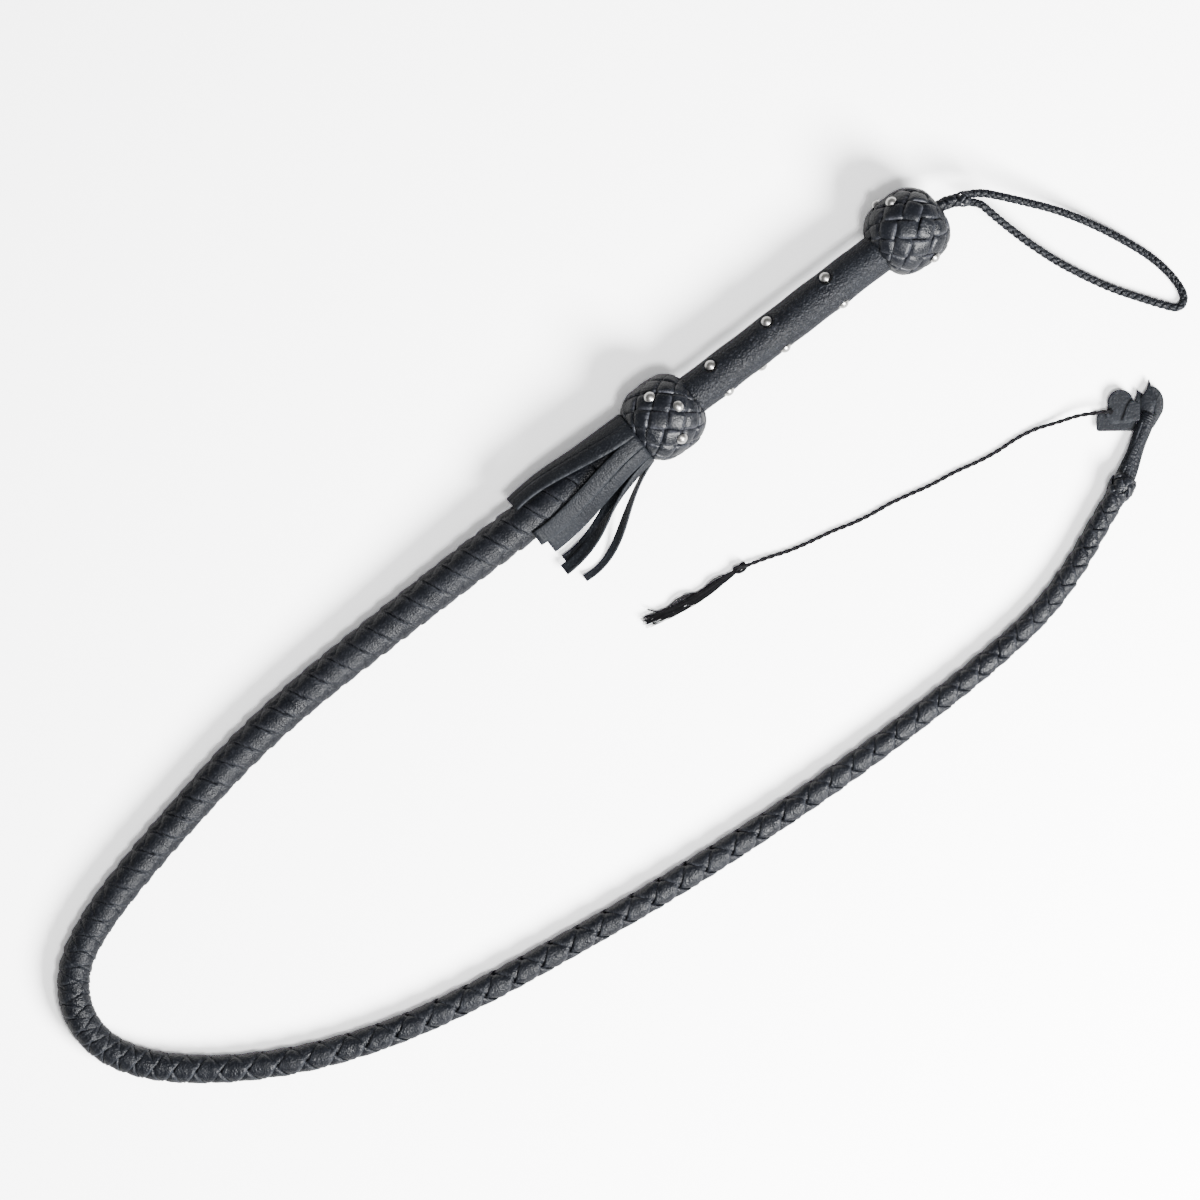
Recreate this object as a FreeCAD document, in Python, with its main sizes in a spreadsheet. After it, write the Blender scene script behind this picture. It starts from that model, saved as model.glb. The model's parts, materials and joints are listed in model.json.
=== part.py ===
"""A studded leather stock whip: handle with two ball knots, fringe, plaited thong, wrist loop and popper.

Millimetres, +Z up. The whip lies on the plane z = 0 with its handle along +X, heel knot at the +X end.
The origin is on that plane, under the middle of the handle with its knots and fringe.
"""
import FreeCAD, Part
import math
import os
from FreeCAD import Placement, Rotation, Vector

# Driving dimensions: alias, value.
DIMENSIONS = [
    ("fringe_knot_x", -52.3),
    ("handle_axis_y", 12.8),
    ("knot_spacing", 183.0),
    ("knot_diameter", 50.0),
    ("knot_shell", 5.0),
    ("grip_diameter", 25.0),
    ("grip_leather", 1.5),
    ("dowel_in_heel", 4.0),
    ("stud_diameter", 7.0),
    ("stud_height", 2.3),
    ("stud_shank", 2.4),
    ("stud_depth", 5.0),
    ("band_start", 24.0),
    ("band_length", 7.0),
    ("band_wall", 3.2),
    ("strip_thickness", 1.8),
    ("strip_root_width", 6.8),
    ("plait_wall", 3.2),
    ("bend_diameter", 19.2),
    ("middle_diameter", 15.6),
    ("point_diameter", 12.2),
    ("bend_distance", 420.0),
    ("middle_distance", 660.0),
    ("floor_clearance", 0.3),
    ("flex_gap", 0.3),
    ("flex_angle_fringe", 30.0),
    ("flex_angle_bend", 75.0),
    ("flex_angle_return", 40.0),
    ("anchor_diameter", 4.4),
    ("anchor_reach", 3.0),
    ("neck_diameter", 8.0),
    ("neck_reach", 12.0),
    ("neck_turn", -27.0),
    ("loop_swing_angle", 60.0),
    ("loop_diameter", 5.0),
    ("loop_leg_gap", 0.4),
    ("end_knot_diameter", 18.0),
    ("end_knot_length", 17.0),
    ("strand_count", 3),
    ("strand_diameter", 3.9),
    ("strand_end_diameter", 2.6),
    ("strand_length", 48.0),
    ("binding_diameter", 9.0),
    ("binding_length", 8.0),
    ("tab_thickness", 2.0),
    ("tab_length", 23.4),
    ("tab_width", 10.8),
    ("tongue_radius", 7.8),
    ("tongue_rise", 12.0),
    ("tongue_shift", 2.7),
    ("tab_turn", -37.4),
    ("hitch_diameter", 2.0),
    ("hitch_head", 4.6),
    ("hitch_head_height", 1.4),
    ("hitch_clearance", 0.3),
    ("string_diameter", 1.8),
    ("popper_knot_diameter", 6.0),
    ("popper_knot_length", 9.0),
    ("tuft_length", 64.0),
    ("tuft_start_diameter", 2.6),
    ("tuft_end_diameter", 6.0),
]

ARC_SHARE = 0.45

# Domed studs: distance along the handle from the fringe knot, turn from the top towards +Y.
GRIP_STUD_RINGS = [(40.5, 39.0), (83.0, 41.0), (126.5, 40.0)]
GRIP_STUDS_PER_RING = 3
GRIP_ODD_STUD = (65.5, -101.0)
FRINGE_KNOT_STUDS = [(0.0, 35.0), (0.5, -45.5), (10.5, -2.0), (-2.0, 140.0)]
HEEL_KNOT_STUDS = [(1.5, 52.0), (-5.5, 84.0), (3.0, -72.0), (0.0, 128.0)]

# Fringe strips: turn of the root; tip x and y from the fringe knot, tip z, turn of the tip, tip width.
FRINGE_STRIPS = [
    (20, -98.0, 8.0, 33.6, 35, 9.0),
    (50, -101.0, 14.6, 25.8, 76, 6.2),
    (80, -101.0, 16.8, 19.4, 98, 5.4),
    (110, -97.0, 13.8, 14.0, 120, 7.0),
    (140, -100.0, 7.8, 8.4, 150, 8.0),
    (170, -99.0, 0.0, 6.2, 180, 8.0),
    (200, -100.0, -8.6, 6.4, 205, 7.0),
    (230, -96.0, -26.0, 4.0, 195, 6.0),
    (260, -95.0, -47.0, 4.0, 200, 6.0),
    (290, -102.0, -34.0, 11.0, 315, 6.0),
    (320, -100.0, -22.5, 20.0, 330, 6.5),
    (350, -103.0, -10.0, 33.2, 322, 7.0),
]

# Thong route from the fringe knot: x, y, height of its underside over the floor.
THONG_ROUTE = [
    (-130, 1, 8.5), (-214, 0.5, 2.6), (-273, -0.5, 0.5), (-322, -5, 0), (-367, -13, 0),
    (-412, -22, 0), (-451, -32, 0), (-480, -45, 0), (-496, -66, 0), (-498, -92, 0),
    (-486, -116, 0), (-464, -138, 0), (-433, -160, 0), (-392, -181, 0), (-346, -197, 0),
    (-296, -208, 0), (-237, -217, 0), (-178, -225, 0), (-114, -231, 0), (-51, -235, 0),
    (12, -236, 0), (67, -235, 0), (111, -231, 0), (144, -221, 0.3), (171, -209, 1.6),
]
THONG_END = (193.5, -200.0)
FIRST_RUN = 50.0
# Each flex is half way along the run that ends at this point of THONG_ROUTE.
FLEX_RUNS = [1, 5, 16]

# Wrist loop from the heel knot: x, y, z of the outgoing leg, the fold and the returning leg.
LOOP_ROUTE = [
    (47.7, -7.0, 24.8), (57.0, -17.0, 22.5), (67.5, -29.0, 18.5), (81.0, -45.0, 13.0),
    (93.0, -64.0, 8.0), (103.0, -84.0, 4.6), (110.5, -103.0, 3.1), (113.2, -120.5, 2.8),
    (111.5, -133.5, 2.8), (104.0, -136.5, 2.8), (97.2, -127.5, 2.8), (89.0, -116.0, 2.8),
    (80.0, -103.0, 3.0), (71.0, -86.5, 4.2), (62.4, -69.0, 7.2), (55.6, -51.0, 11.8),
    (50.3, -34.5, 17.2), (46.8, -21.5, 22.0), (44.6, -11.8, 24.6),
]

# Popper string from the fringe knot: x, y, z.
STRING_ROUTE = [
    (209.0, -155.6, 7.4), (199.0, -150.0, 6.0), (188.0, -146.4, 3.6), (175.5, -141.4, 1.6),
    (162.5, -138.8, 1.2), (148.0, -138.2, 1.2), (134.5, -135.9, 1.2), (120.0, -132.2, 1.2),
    (105.0, -130.2, 1.2), (89.0, -126.2, 1.2), (76.5, -123.4, 1.2), (65.5, -122.3, 1.2),
    (52.8, -119.7, 1.2), (40.3, -115.9, 1.2), (28.0, -113.4, 1.2), (12.0, -109.6, 1.2),
    (-1.5, -104.4, 1.8),
]
HITCH_PLACE = (216.5, -160.2)
POPPER_KNOT_PLACE = (-17.5, -99.8)
TUFT_TURN = 173.4
TAB_CENTRE = (215.1, -167.4)
TAB_FLANK = 14.6
STRAND_TURN = 31.0
# Strand points past the binding: turn in plan, length, root diameter.
STRAND_POINTS = [(46.0, 17.0, 3.2), (78.0, 12.5, 3.0), (101.0, 11.0, 2.6), (8.0, 12.0, 3.0)]

doc = FreeCAD.newDocument("stock_whip")
sheet = doc.addObject("Spreadsheet::Sheet", "dims")
nodes = []
X_FROM_Z = Rotation(Vector(0, 1, 0), 90)


def fill_sheet():
    for row, (alias, number) in enumerate(DIMENSIONS, start=1):
        sheet.set(f"A{row}", alias)
        sheet.set(f"B{row}", str(number))
        sheet.setAlias(f"B{row}", alias)
    doc.recompute()


def size(alias):
    return float(getattr(sheet, alias))


def node(item, name):
    """Name a finished sub-part."""
    item.Label = name
    nodes.append(item)
    return item


def bind(item, **expressions):
    for name, expression in expressions.items():
        item.setExpression(name.replace("__", "."), expression)
    return item


def rod_along_x(name, radius, length, start):
    """A cylinder along +X on the handle's axis, all sizes bound to the sheet."""
    rod = doc.addObject("Part::Cylinder", name)
    rod.Placement = Placement(Vector(), X_FROM_Z)
    on_axis = {
        "Placement__Base__x": start,
        "Placement__Base__y": "dims.handle_axis_y",
        "Placement__Base__z": "dims.knot_diameter / 2",
    }
    return bind(rod, Radius=radius, Height=length, **on_axis)


def ball(name, radius, centre_x):
    sphere = doc.addObject("Part::Sphere", name)
    on_axis = {
        "Placement__Base__x": centre_x,
        "Placement__Base__y": "dims.handle_axis_y",
        "Placement__Base__z": "dims.knot_diameter / 2",
    }
    return bind(sphere, Radius=radius, **on_axis)


def cut(name, base, *tools):
    """The base less each tool in turn."""
    for tool in tools:
        piece = doc.addObject("Part::Cut", name)
        piece.Base = base
        piece.Tool = tool
        base = piece
    return base


def free_form(name, shape):
    """A sub-part made with Part's own functions from the sheet's values."""
    piece = doc.addObject("Part::Feature", name.replace("_", " ").title().replace(" ", ""))
    piece.Shape = shape
    piece.Placement = Placement()
    return piece


# ---- places ----

def knot_centre():
    return Vector(size("fringe_knot_x"), size("handle_axis_y"), size("knot_diameter") / 2)


def heel_centre():
    return knot_centre() + Vector(size("knot_spacing"), 0, 0)


def from_knot(x, y, z=0.0):
    """A place given from the point of the floor under the fringe knot's centre."""
    return Vector(size("fringe_knot_x") + x, size("handle_axis_y") + y, z)


def around_axis(x, turn, distance, centre):
    """A point round the handle's axis; the turn is from the top towards +Y."""
    angle = math.radians(turn)
    return centre + Vector(x, distance * math.sin(angle), distance * math.cos(angle))


def heading(turn):
    return Vector(math.cos(math.radians(turn)), math.sin(math.radians(turn)), 0)


# ---- domed studs ----

def domed_stud(base, outward):
    """A dome over a round shank; base is the middle of the dome's flat underside."""
    rim = size("stud_diameter") / 2
    rise = size("stud_height")
    dome_radius = (rim * rim + rise * rise) / (2 * rise)
    sphere = Part.makeSphere(dome_radius, base - outward * (dome_radius - rise))
    slab = Part.makeCylinder(rim + 1, rise + 1, base, outward)
    depth = size("stud_depth")
    shank = Part.makeCylinder(size("stud_shank") / 2, depth, base - outward * depth, outward)
    return sphere.common(slab).fuse(shank)


def grip_studs():
    places = []
    for along, first_turn in GRIP_STUD_RINGS:
        for number in range(GRIP_STUDS_PER_RING):
            places.append((along, first_turn + 360 / GRIP_STUDS_PER_RING * number))
    places.append(GRIP_ODD_STUD)
    seat = size("grip_diameter") / 2 - 0.4
    return stud_group(places, knot_centre(), lambda along: seat)


def stud_group(places, centre, seat):
    studs = []
    for along, turn in places:
        base = around_axis(along, turn, seat(along), centre)
        outward = around_axis(0, turn, 1, Vector())
        studs.append(domed_stud(base, outward))
    return Part.makeCompound(studs)


def knot_studs(places, centre):
    """Studs on a ball knot stand square to the ball."""
    studs = []
    radius = size("knot_diameter") / 2
    for along, turn in places:
        ring = math.sqrt(radius * radius - along * along)
        outward = (around_axis(along, turn, ring, Vector())).normalize()
        studs.append(domed_stud(centre + outward * (radius - 0.4), outward))
    return Part.makeCompound(studs)


# ---- cords ----

def corner(before, point, after):
    """Tangent length, radius, turn and axis of the arc at one corner of a route."""
    arriving = (point - before).normalize()
    leaving = (after - point).normalize()
    turn = arriving.getAngle(leaving)
    reach = ARC_SHARE * min((point - before).Length, (after - point).Length)
    axis = arriving.cross(leaving).normalize()
    return arriving, leaving, turn, reach, reach / math.tan(turn / 2), axis


def ring_edge(centre, direction, radius, seam):
    """A circle across the route whose start lies at the seam, so that neighbouring skins match."""
    circle = Part.Circle(centre, direction, radius)
    start = circle.value(0) - centre
    angle = start.getAngle(seam)
    if start.cross(seam).dot(direction) < 0:
        angle = -angle
    edge = circle.toShape()
    edge.rotate(centre, direction, math.degrees(angle))
    return edge


def straight_skin(start, end, first_radius, last_radius, seam):
    profile = Part.makeLine(start + seam * first_radius, end + seam * last_radius)
    return profile.revolve(start, end - start, 360)


def route_tube(route, radii):
    """Straight runs joined by tangent arcs; the radius changes along the runs only."""
    direction = (route[1] - route[0]).normalize()
    seam = direction.cross(Vector(0, 0, 1)).normalize()
    start = route[0]
    start_radius = radii[0]
    skins = [Part.Face(Part.Wire(ring_edge(start, direction, start_radius, seam)))]
    ideal = 0.0
    bends = []
    for index, radius in enumerate(radii[1:-1], start=1):
        before, point, after = route[index - 1:index + 2]
        arriving, leaving, turn, reach, bend, axis = corner(before, point, after)
        arc_start = point - arriving * reach
        skins.append(straight_skin(start, arc_start, start_radius, radius, seam))
        ideal += frustum_volume((arc_start - start).Length, start_radius, radius)
        centre = arc_start + axis.cross(arriving).normalize() * bend
        skins.append(ring_edge(arc_start, arriving, radius, seam).revolve(centre, axis, math.degrees(turn)))
        ideal += math.pi * radius * radius * bend * turn
        bends.append(bend)
        seam = Rotation(axis, math.degrees(turn)).multVec(seam)
        direction = leaving
        start = point + leaving * reach
        start_radius = radius
    skins.append(straight_skin(start, route[-1], start_radius, radii[-1], seam))
    ideal += frustum_volume((route[-1] - start).Length, start_radius, radii[-1])
    skins.append(Part.Face(Part.Wire(ring_edge(route[-1], direction, radii[-1], seam))))
    shell = Part.Compound(skins)
    shell.sewShape()
    tube = Part.Solid(shell.Shells[0])
    if tube.Volume < 0:
        tube.reverse()
    return tube, min(bends), tube.Volume / ideal


def frustum_volume(length, first_radius, last_radius):
    squares = first_radius ** 2 + first_radius * last_radius + last_radius ** 2
    return math.pi * length * squares / 3


def frustum(start, end, first_radius, last_radius):
    span = end - start
    if abs(first_radius - last_radius) < 1e-6:
        return Part.makeCylinder(first_radius, span.Length, start, span)
    return Part.makeCone(first_radius, last_radius, span.Length, start, span)


def report_tube(name, diameter, tightest, volume_ratio):
    print(f"{name}: smallest radius {tightest:.1f} mm ({tightest / diameter:.1f} diameters),"
          f" volume ratio {volume_ratio:.5f}")


def thong_diameter(distance):
    """The thong tapers evenly between its start, the bend, the middle and the point."""
    stations = [
        (FIRST_RUN, size("grip_diameter")),
        (size("bend_distance"), size("bend_diameter")),
        (size("middle_distance"), size("middle_diameter")),
        (thong_length(), size("point_diameter")),
    ]
    for (low, first), (high, last) in zip(stations, stations[1:]):
        if distance <= high:
            share = max(0.0, distance - low) / (high - low)
            return first + (last - first) * share
    return stations[-1][1]


def plan_route():
    plan = [(0.0, 0.0), (-FIRST_RUN, 0.0)]
    plan += [(x, y) for x, y, rise in THONG_ROUTE]
    plan.append(THONG_END)
    return plan


def thong_distances():
    distances = [0.0]
    plan = plan_route()
    for (x, y), (next_x, next_y) in zip(plan, plan[1:]):
        distances.append(distances[-1] + math.hypot(next_x - x, next_y - y))
    return distances


def thong_length():
    return thong_distances()[-1]


def thong_points():
    """Every point of the thong's route with the thong's radius there."""
    distances = thong_distances()
    points = []
    for index, (x, y) in enumerate(plan_route()):
        radius = thong_diameter(distances[index]) / 2
        if index < 2:
            height = knot_centre().z
        elif index == len(distances) - 1:
            height = size("end_knot_diameter") / 2 + size("floor_clearance")
        else:
            height = radius + size("floor_clearance") + THONG_ROUTE[index - 2][2]
        points.append((from_knot(x, y, height), radius))
    return points


def thong_flexes(points):
    """The three places where the thong folds: place, run direction, radius, half gap."""
    angles = ["flex_angle_fringe", "flex_angle_bend", "flex_angle_return"]
    flexes = []
    for run, angle in zip(FLEX_RUNS, angles):
        (start, start_radius), (end, end_radius) = points[run + 1:run + 3]
        place = (start + end) / 2
        radius = (start_radius + end_radius) / 2
        half_gap = radius * math.tan(math.radians(size(angle)) / 2) + size("flex_gap")
        flexes.append((place, (end - start).normalize(), radius, half_gap, run + 2))
    return flexes


def thong_sections():
    """Plait and core of each stretch of thong between two flexes."""
    points = thong_points()
    flexes = thong_flexes(points)
    wall = size("plait_wall")
    first = 0
    lead = []
    seat = None
    sections = []
    for number in range(len(flexes) + 1):
        last = flexes[number][4] if number < len(flexes) else len(points)
        middle = points[first:last]
        tail = []
        if number < len(flexes):
            place, along, radius, half_gap, first = flexes[number]
            tail = [(place - along * half_gap, radius)]
        stretch = lead + middle + tail
        route = [point for point, radius in stretch]
        radii = [radius for point, radius in stretch]
        outer, tightest, ratio = route_tube(route, radii)
        core, core_tightest, core_ratio = route_tube(route, [radius - wall for radius in radii])
        plait = outer.cut(core)
        if seat:
            plait = plait.cut(seat)
            core = core.cut(seat)
        if number < len(flexes):
            pivot_radius = radius - wall
            core = core.fuse(rounded_end(place - along * half_gap, place, pivot_radius))
            seat = Part.makeSphere(pivot_radius + size("flex_gap"), place)
            lead = [(place + along * half_gap, radius)]
        report_tube(f"thong_plait_{number + 1}", 2 * max(radii), tightest, ratio)
        sections.append((plait, core))
    return sections


def rounded_end(start, place, radius):
    """A rod from start to place with a half ball at its end."""
    rod = Part.makeCylinder(radius, (place - start).Length, start, place - start)
    return rod.fuse(Part.makeSphere(radius, place))


# ---- wrist loop ----

def loop_pivots():
    """Swing pivot past the heel knot, lift pivot at the neck's far end, and the neck's direction."""
    anchor_end = size("knot_diameter") / 2 + size("anchor_reach")
    swing = heel_centre() + Vector(anchor_end, 0, 0)
    along = heading(size("neck_turn"))
    return swing, swing + along * size("neck_reach"), along


def loop_anchor():
    """A stub of strap from the dowel's end out through the heel knot, round at its tip."""
    swing = loop_pivots()[0]
    start = heel_centre() + Vector(size("dowel_in_heel"), 0, 0)
    return rounded_end(start, swing, size("anchor_diameter") / 2)


def leg_setback():
    return size("loop_diameter") / 2 + size("flex_gap")


def loop_neck():
    swing, lift, along = loop_pivots()
    radius = size("neck_diameter") / 2
    half_gap = radius * math.tan(math.radians(size("loop_swing_angle")) / 2) + size("flex_gap")
    start = swing + along * half_gap
    length = size("neck_reach") - half_gap - leg_setback()
    sleeve = Part.makeCylinder(radius, length, start, along)
    seat = Part.makeSphere(size("anchor_diameter") / 2 + size("flex_gap"), swing)
    end = rounded_end(start + along * length, lift, size("anchor_diameter") / 2)
    return sleeve.cut(seat).fuse(end)


def wrist_loop():
    """One round plait out, round the fold and back; both ends face the neck."""
    lift, along = loop_pivots()[1:]
    left = Vector(-along.y, along.x, 0)
    apart = (size("loop_diameter") + size("loop_leg_gap")) / 2
    root = lift + along * leg_setback()
    centre = heel_centre()
    middle = [Vector(centre.x + x, centre.y + y, z) for x, y, z in LOOP_ROUTE]
    route = [root + left * apart] + middle + [root - left * apart]
    tube, tightest, ratio = route_tube(route, [size("loop_diameter") / 2] * len(route))
    report_tube("wrist_loop", size("loop_diameter"), tightest, ratio)
    return tube


# ---- the thong's point and the popper ----

def thong_end_frame():
    """The thong's end point and its level direction there."""
    points = thong_points()
    end = points[-1][0]
    along = end - points[-2][0]
    along.z = 0
    return end, along.normalize()


def neck_strands():
    """Tapered strands side by side from the middle of the end knot to past the binding."""
    end = thong_end_frame()[0]
    along = heading(STRAND_TURN)
    side = Vector(-along.y, along.x, 0)
    count = int(size("strand_count"))
    drop = end.z - size("binding_diameter") / 2 - size("floor_clearance")
    start = end + along * 1.5
    finish = end + along * size("strand_length") - Vector(0, 0, drop)
    strands = []
    for number in range(count):
        place = number - (count - 1) / 2
        near = start + side * place * (size("strand_diameter") + 0.05)
        far = finish + side * place * (size("strand_end_diameter") + 0.05)
        strands.append(frustum(near, far, size("strand_diameter") / 2, size("strand_end_diameter") / 2))
    return Part.makeCompound(strands), start, finish


def end_knot(thong, strands):
    """A wrapped barrel knot; the thong ends in its middle and the strands leave its far side."""
    end, along = thong_end_frame()
    half = size("end_knot_length") / 2
    radius = size("end_knot_diameter") / 2
    belly = Part.makeSphere(math.hypot(half, radius * 0.75), end)
    barrel = Part.makeCylinder(radius, 2 * half, end - along * half, along).common(belly)
    return barrel.cut([*thong, strands])


def strand_binding(strands, start, finish):
    """Cord wound tight round the strands' far ends."""
    along = (finish - start).normalize()
    length = size("binding_length")
    coil = Part.makeCylinder(size("binding_diameter") / 2, length, finish - along * length, along)
    return coil.cut(strands)


def strand_points(finish):
    points = []
    for turn, length, diameter in STRAND_POINTS:
        rise = heading(turn) * length
        tip = frustum(finish, finish + rise, diameter / 2, 0.4)
        points.append(tip)
    splay = points[0].multiFuse(points[1:])
    return splay


def popper_tab(*neighbours):
    """A flat leather tab: a square tail, a round tongue and a flank that meets the binding."""
    body = doc.addObject("PartDesign::Body", "TabBody")
    plane = [item for item in body.Origin.OriginFeatures if item.Role == "XY_Plane"][0]
    sketch = body.newObject("Sketcher::SketchObject", "TabOutline")
    sketch.AttachmentSupport = (plane, [""])
    sketch.MapMode = "FlatFace"
    half_length = size("tab_length") / 2
    half_width = size("tab_width") / 2
    tongue_x = size("tongue_shift")
    tongue_y = size("tongue_rise")
    radius = size("tongue_radius")
    corners = [
        Vector(tongue_x - radius, tongue_y, 0),
        Vector(-half_length * 0.55, half_width, 0),
        Vector(-half_length, half_width, 0),
        Vector(-half_length, -half_width, 0),
        Vector(half_length, -half_width, 0),
        Vector(TAB_FLANK, half_width * 0.3, 0),
        Vector(TAB_FLANK, half_width * 1.5, 0),
        Vector(tongue_x + radius, tongue_y, 0),
    ]
    for first, last in zip(corners, corners[1:]):
        sketch.addGeometry(Part.LineSegment(first, last), False)
    circle = Part.Circle(Vector(tongue_x, tongue_y, 0), Vector(0, 0, 1), radius)
    sketch.addGeometry(Part.ArcOfCircle(circle, 0, math.pi), False)
    pad = body.newObject("PartDesign::Pad", "TabPad")
    pad.Profile = sketch
    pad.setExpression("Length", "dims.tab_thickness")
    body.Placement = Placement(tab_origin(), Rotation(Vector(0, 0, 1), size("tab_turn")))
    doc.recompute()
    hole = doc.addObject("Part::Cylinder", "HitchHole")
    bind(hole, Radius="dims.hitch_diameter / 2 + dims.hitch_clearance", Height="dims.tab_thickness * 3")
    place = from_knot(*HITCH_PLACE, tab_origin().z - size("tab_thickness"))
    hole.Placement = Placement(place, Rotation())
    return cut("Tab", body, *neighbours, hole)


def tab_origin():
    lift = size("binding_diameter") / 2 + size("floor_clearance") - size("tab_thickness") / 2
    return from_knot(*TAB_CENTRE, lift)


def popper_hitch():
    """The hitch that holds the string in the tab's hole: a shank with a head above and below."""
    low = tab_origin().z
    high = low + size("tab_thickness")
    clearance = size("hitch_clearance")
    head = size("hitch_head_height")
    place = from_knot(*HITCH_PLACE)
    radius = size("hitch_head") / 2
    upper = Part.makeCylinder(radius, head, place + Vector(0, 0, high + clearance))
    lower = Part.makeCylinder(radius, head, place + Vector(0, 0, low - clearance - head))
    shank_length = high - low + 2 * clearance
    shank = Part.makeCylinder(size("hitch_diameter") / 2, shank_length, place + Vector(0, 0, low - clearance))
    return upper.fuse(shank).fuse(lower)


def hitch_top():
    top = tab_origin().z + size("tab_thickness") + size("hitch_clearance")
    return top + size("hitch_head_height") / 2


def popper_string(hitch, knot):
    middle = [from_knot(*point) for point in STRING_ROUTE]
    start = from_knot(*HITCH_PLACE, hitch_top())
    end = popper_knot_frame()[0]
    route = [start] + middle + [end]
    tube, tightest, ratio = route_tube(route, [size("string_diameter") / 2] * len(route))
    report_tube("popper_string", size("string_diameter"), tightest, ratio)
    return tube.cut(hitch).cut(knot)


def popper_knot_frame():
    centre = from_knot(*POPPER_KNOT_PLACE, size("popper_knot_diameter") / 2 + size("floor_clearance"))
    return centre, heading(TUFT_TURN)


def popper_knot():
    centre, along = popper_knot_frame()
    half = size("popper_knot_length") / 2
    radius = size("popper_knot_diameter") / 2
    belly = Part.makeSphere(math.hypot(half, radius * 0.6), centre)
    return Part.makeCylinder(radius, 2 * half, centre - along * half, along).common(belly)


def popper_tuft(knot):
    """The string's combed-out end, a slim widening wisp."""
    centre, along = popper_knot_frame()
    start = centre + along * (size("popper_knot_length") / 2 - 0.5)
    lift = size("tuft_end_diameter") / 2 + size("floor_clearance") - start.z
    end = start + along * size("tuft_length") + Vector(0, 0, lift)
    wisp = frustum(start, end, size("tuft_start_diameter") / 2, size("tuft_end_diameter") / 2)
    return wisp.cut(knot)


# ---- handle ----

def build_handle():
    studs = node(free_form("grip_studs", grip_studs()), "grip_studs")
    length = "dims.knot_spacing + dims.dowel_in_heel"
    start = "dims.fringe_knot_x"
    heel = "dims.fringe_knot_x + dims.knot_spacing"
    core_radius = "dims.grip_diameter / 2 - dims.grip_leather"
    dowel = rod_along_x("Dowel", core_radius, length, start)
    node(cut("DowelDrilled", dowel, studs), "handle_core")
    sleeve = rod_along_x("GripSleeve", "dims.grip_diameter / 2", length, start)
    inside = rod_along_x("GripInside", core_radius, length, start)
    node(cut("GripCover", sleeve, inside, studs), "grip_cover")

    outer = "dims.knot_diameter / 2"
    inner = "dims.knot_diameter / 2 - dims.knot_shell"
    bore_start = "dims.fringe_knot_x - dims.knot_diameter"
    bore = rod_along_x("KnotBore", "dims.grip_diameter / 2", "dims.knot_diameter * 2", bore_start)
    fringe_studs = node(free_form("fringe_knot_studs", knot_studs(FRINGE_KNOT_STUDS, knot_centre())),
                        "fringe_knot_studs")
    fringe_bead = ball("FringeBall", inner, start)
    node(cut("FringeBead", fringe_bead, bore, fringe_studs), "fringe_knot_core")
    fringe_ball = ball("FringeOuter", outer, start)
    node(cut("FringeShell", fringe_ball, fringe_bead, bore, fringe_studs), "fringe_knot")

    heel_studs = node(free_form("heel_knot_studs", knot_studs(HEEL_KNOT_STUDS, heel_centre())),
                      "heel_knot_studs")
    blind = rod_along_x("HeelBore", "dims.grip_diameter / 2", length, start)
    anchor = node(free_form("loop_anchor", loop_anchor()), "loop_anchor")
    heel_bead = ball("HeelBall", inner, heel)
    node(cut("HeelBead", heel_bead, blind, anchor, heel_studs), "heel_knot_core")
    heel_ball = ball("HeelOuter", outer, heel)
    node(cut("HeelShell", heel_ball, heel_bead, blind, anchor, heel_studs), "heel_knot")


def build_fringe():
    far_end = "dims.fringe_knot_x - dims.band_start - dims.band_length"
    outer = rod_along_x("BandOuter", "dims.grip_diameter / 2 + dims.band_wall", "dims.band_length", far_end)
    inner = rod_along_x("BandInner", "dims.grip_diameter / 2", "dims.band_length", far_end)
    node(cut("Band", outer, inner), "fringe_band")
    for number, strip in enumerate(FRINGE_STRIPS, start=1):
        name = f"fringe_strip_{number}"
        node(free_form(name, fringe_strip(*strip)), name)


def strip_section(centre, turn, width):
    """A rectangle across the strip, in a plane square to the handle."""
    angle = math.radians(turn)
    outward = Vector(0, math.sin(angle), math.cos(angle)) * (size("strip_thickness") / 2)
    sideways = Vector(0, math.cos(angle), -math.sin(angle)) * (width / 2)
    corners = [
        centre + outward + sideways,
        centre + outward - sideways,
        centre - outward - sideways,
        centre - outward + sideways,
    ]
    return Part.makePolygon(corners + corners[:1])


def fringe_strip(root_turn, tip_x, tip_y, tip_z, tip_turn, tip_width):
    """One strip from the band's end face to its square-cut tip."""
    root_x = -size("band_start") - size("band_length")
    middle = size("grip_diameter") / 2 + size("band_wall") - size("strip_thickness") / 2 - 0.1
    root = around_axis(root_x, root_turn, middle, knot_centre())
    tip = from_knot(tip_x, tip_y, tip_z)
    sections = [
        strip_section(root, root_turn, size("strip_root_width")),
        strip_section(tip, tip_turn, tip_width),
    ]
    return Part.makeLoft(sections, True, True)


def build_thong():
    sections = thong_sections()
    for number, (plait, core) in enumerate(sections, start=1):
        node(free_form(f"thong_plait_{number}", plait), f"thong_plait_{number}")
        node(free_form(f"thong_core_{number}", core), f"thong_core_{number}")
    return sections[-1]


def build_wrist_loop():
    node(free_form("loop_neck", loop_neck()), "loop_neck")
    node(free_form("wrist_loop", wrist_loop()), "wrist_loop")


def build_point(thong):
    strands, start, finish = neck_strands()
    binding = strand_binding(strands, start, finish)
    splay = strand_points(finish).cut(strands).cut(binding)
    node(free_form("end_knot", end_knot(thong, strands)), "end_knot")
    strands_item = node(free_form("neck_strands", strands), "neck_strands")
    binding_item = node(free_form("strand_binding", binding), "strand_binding")
    splay_item = node(free_form("strand_points", splay), "strand_points")
    node(popper_tab(strands_item, binding_item, splay_item), "popper_tab")


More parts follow.
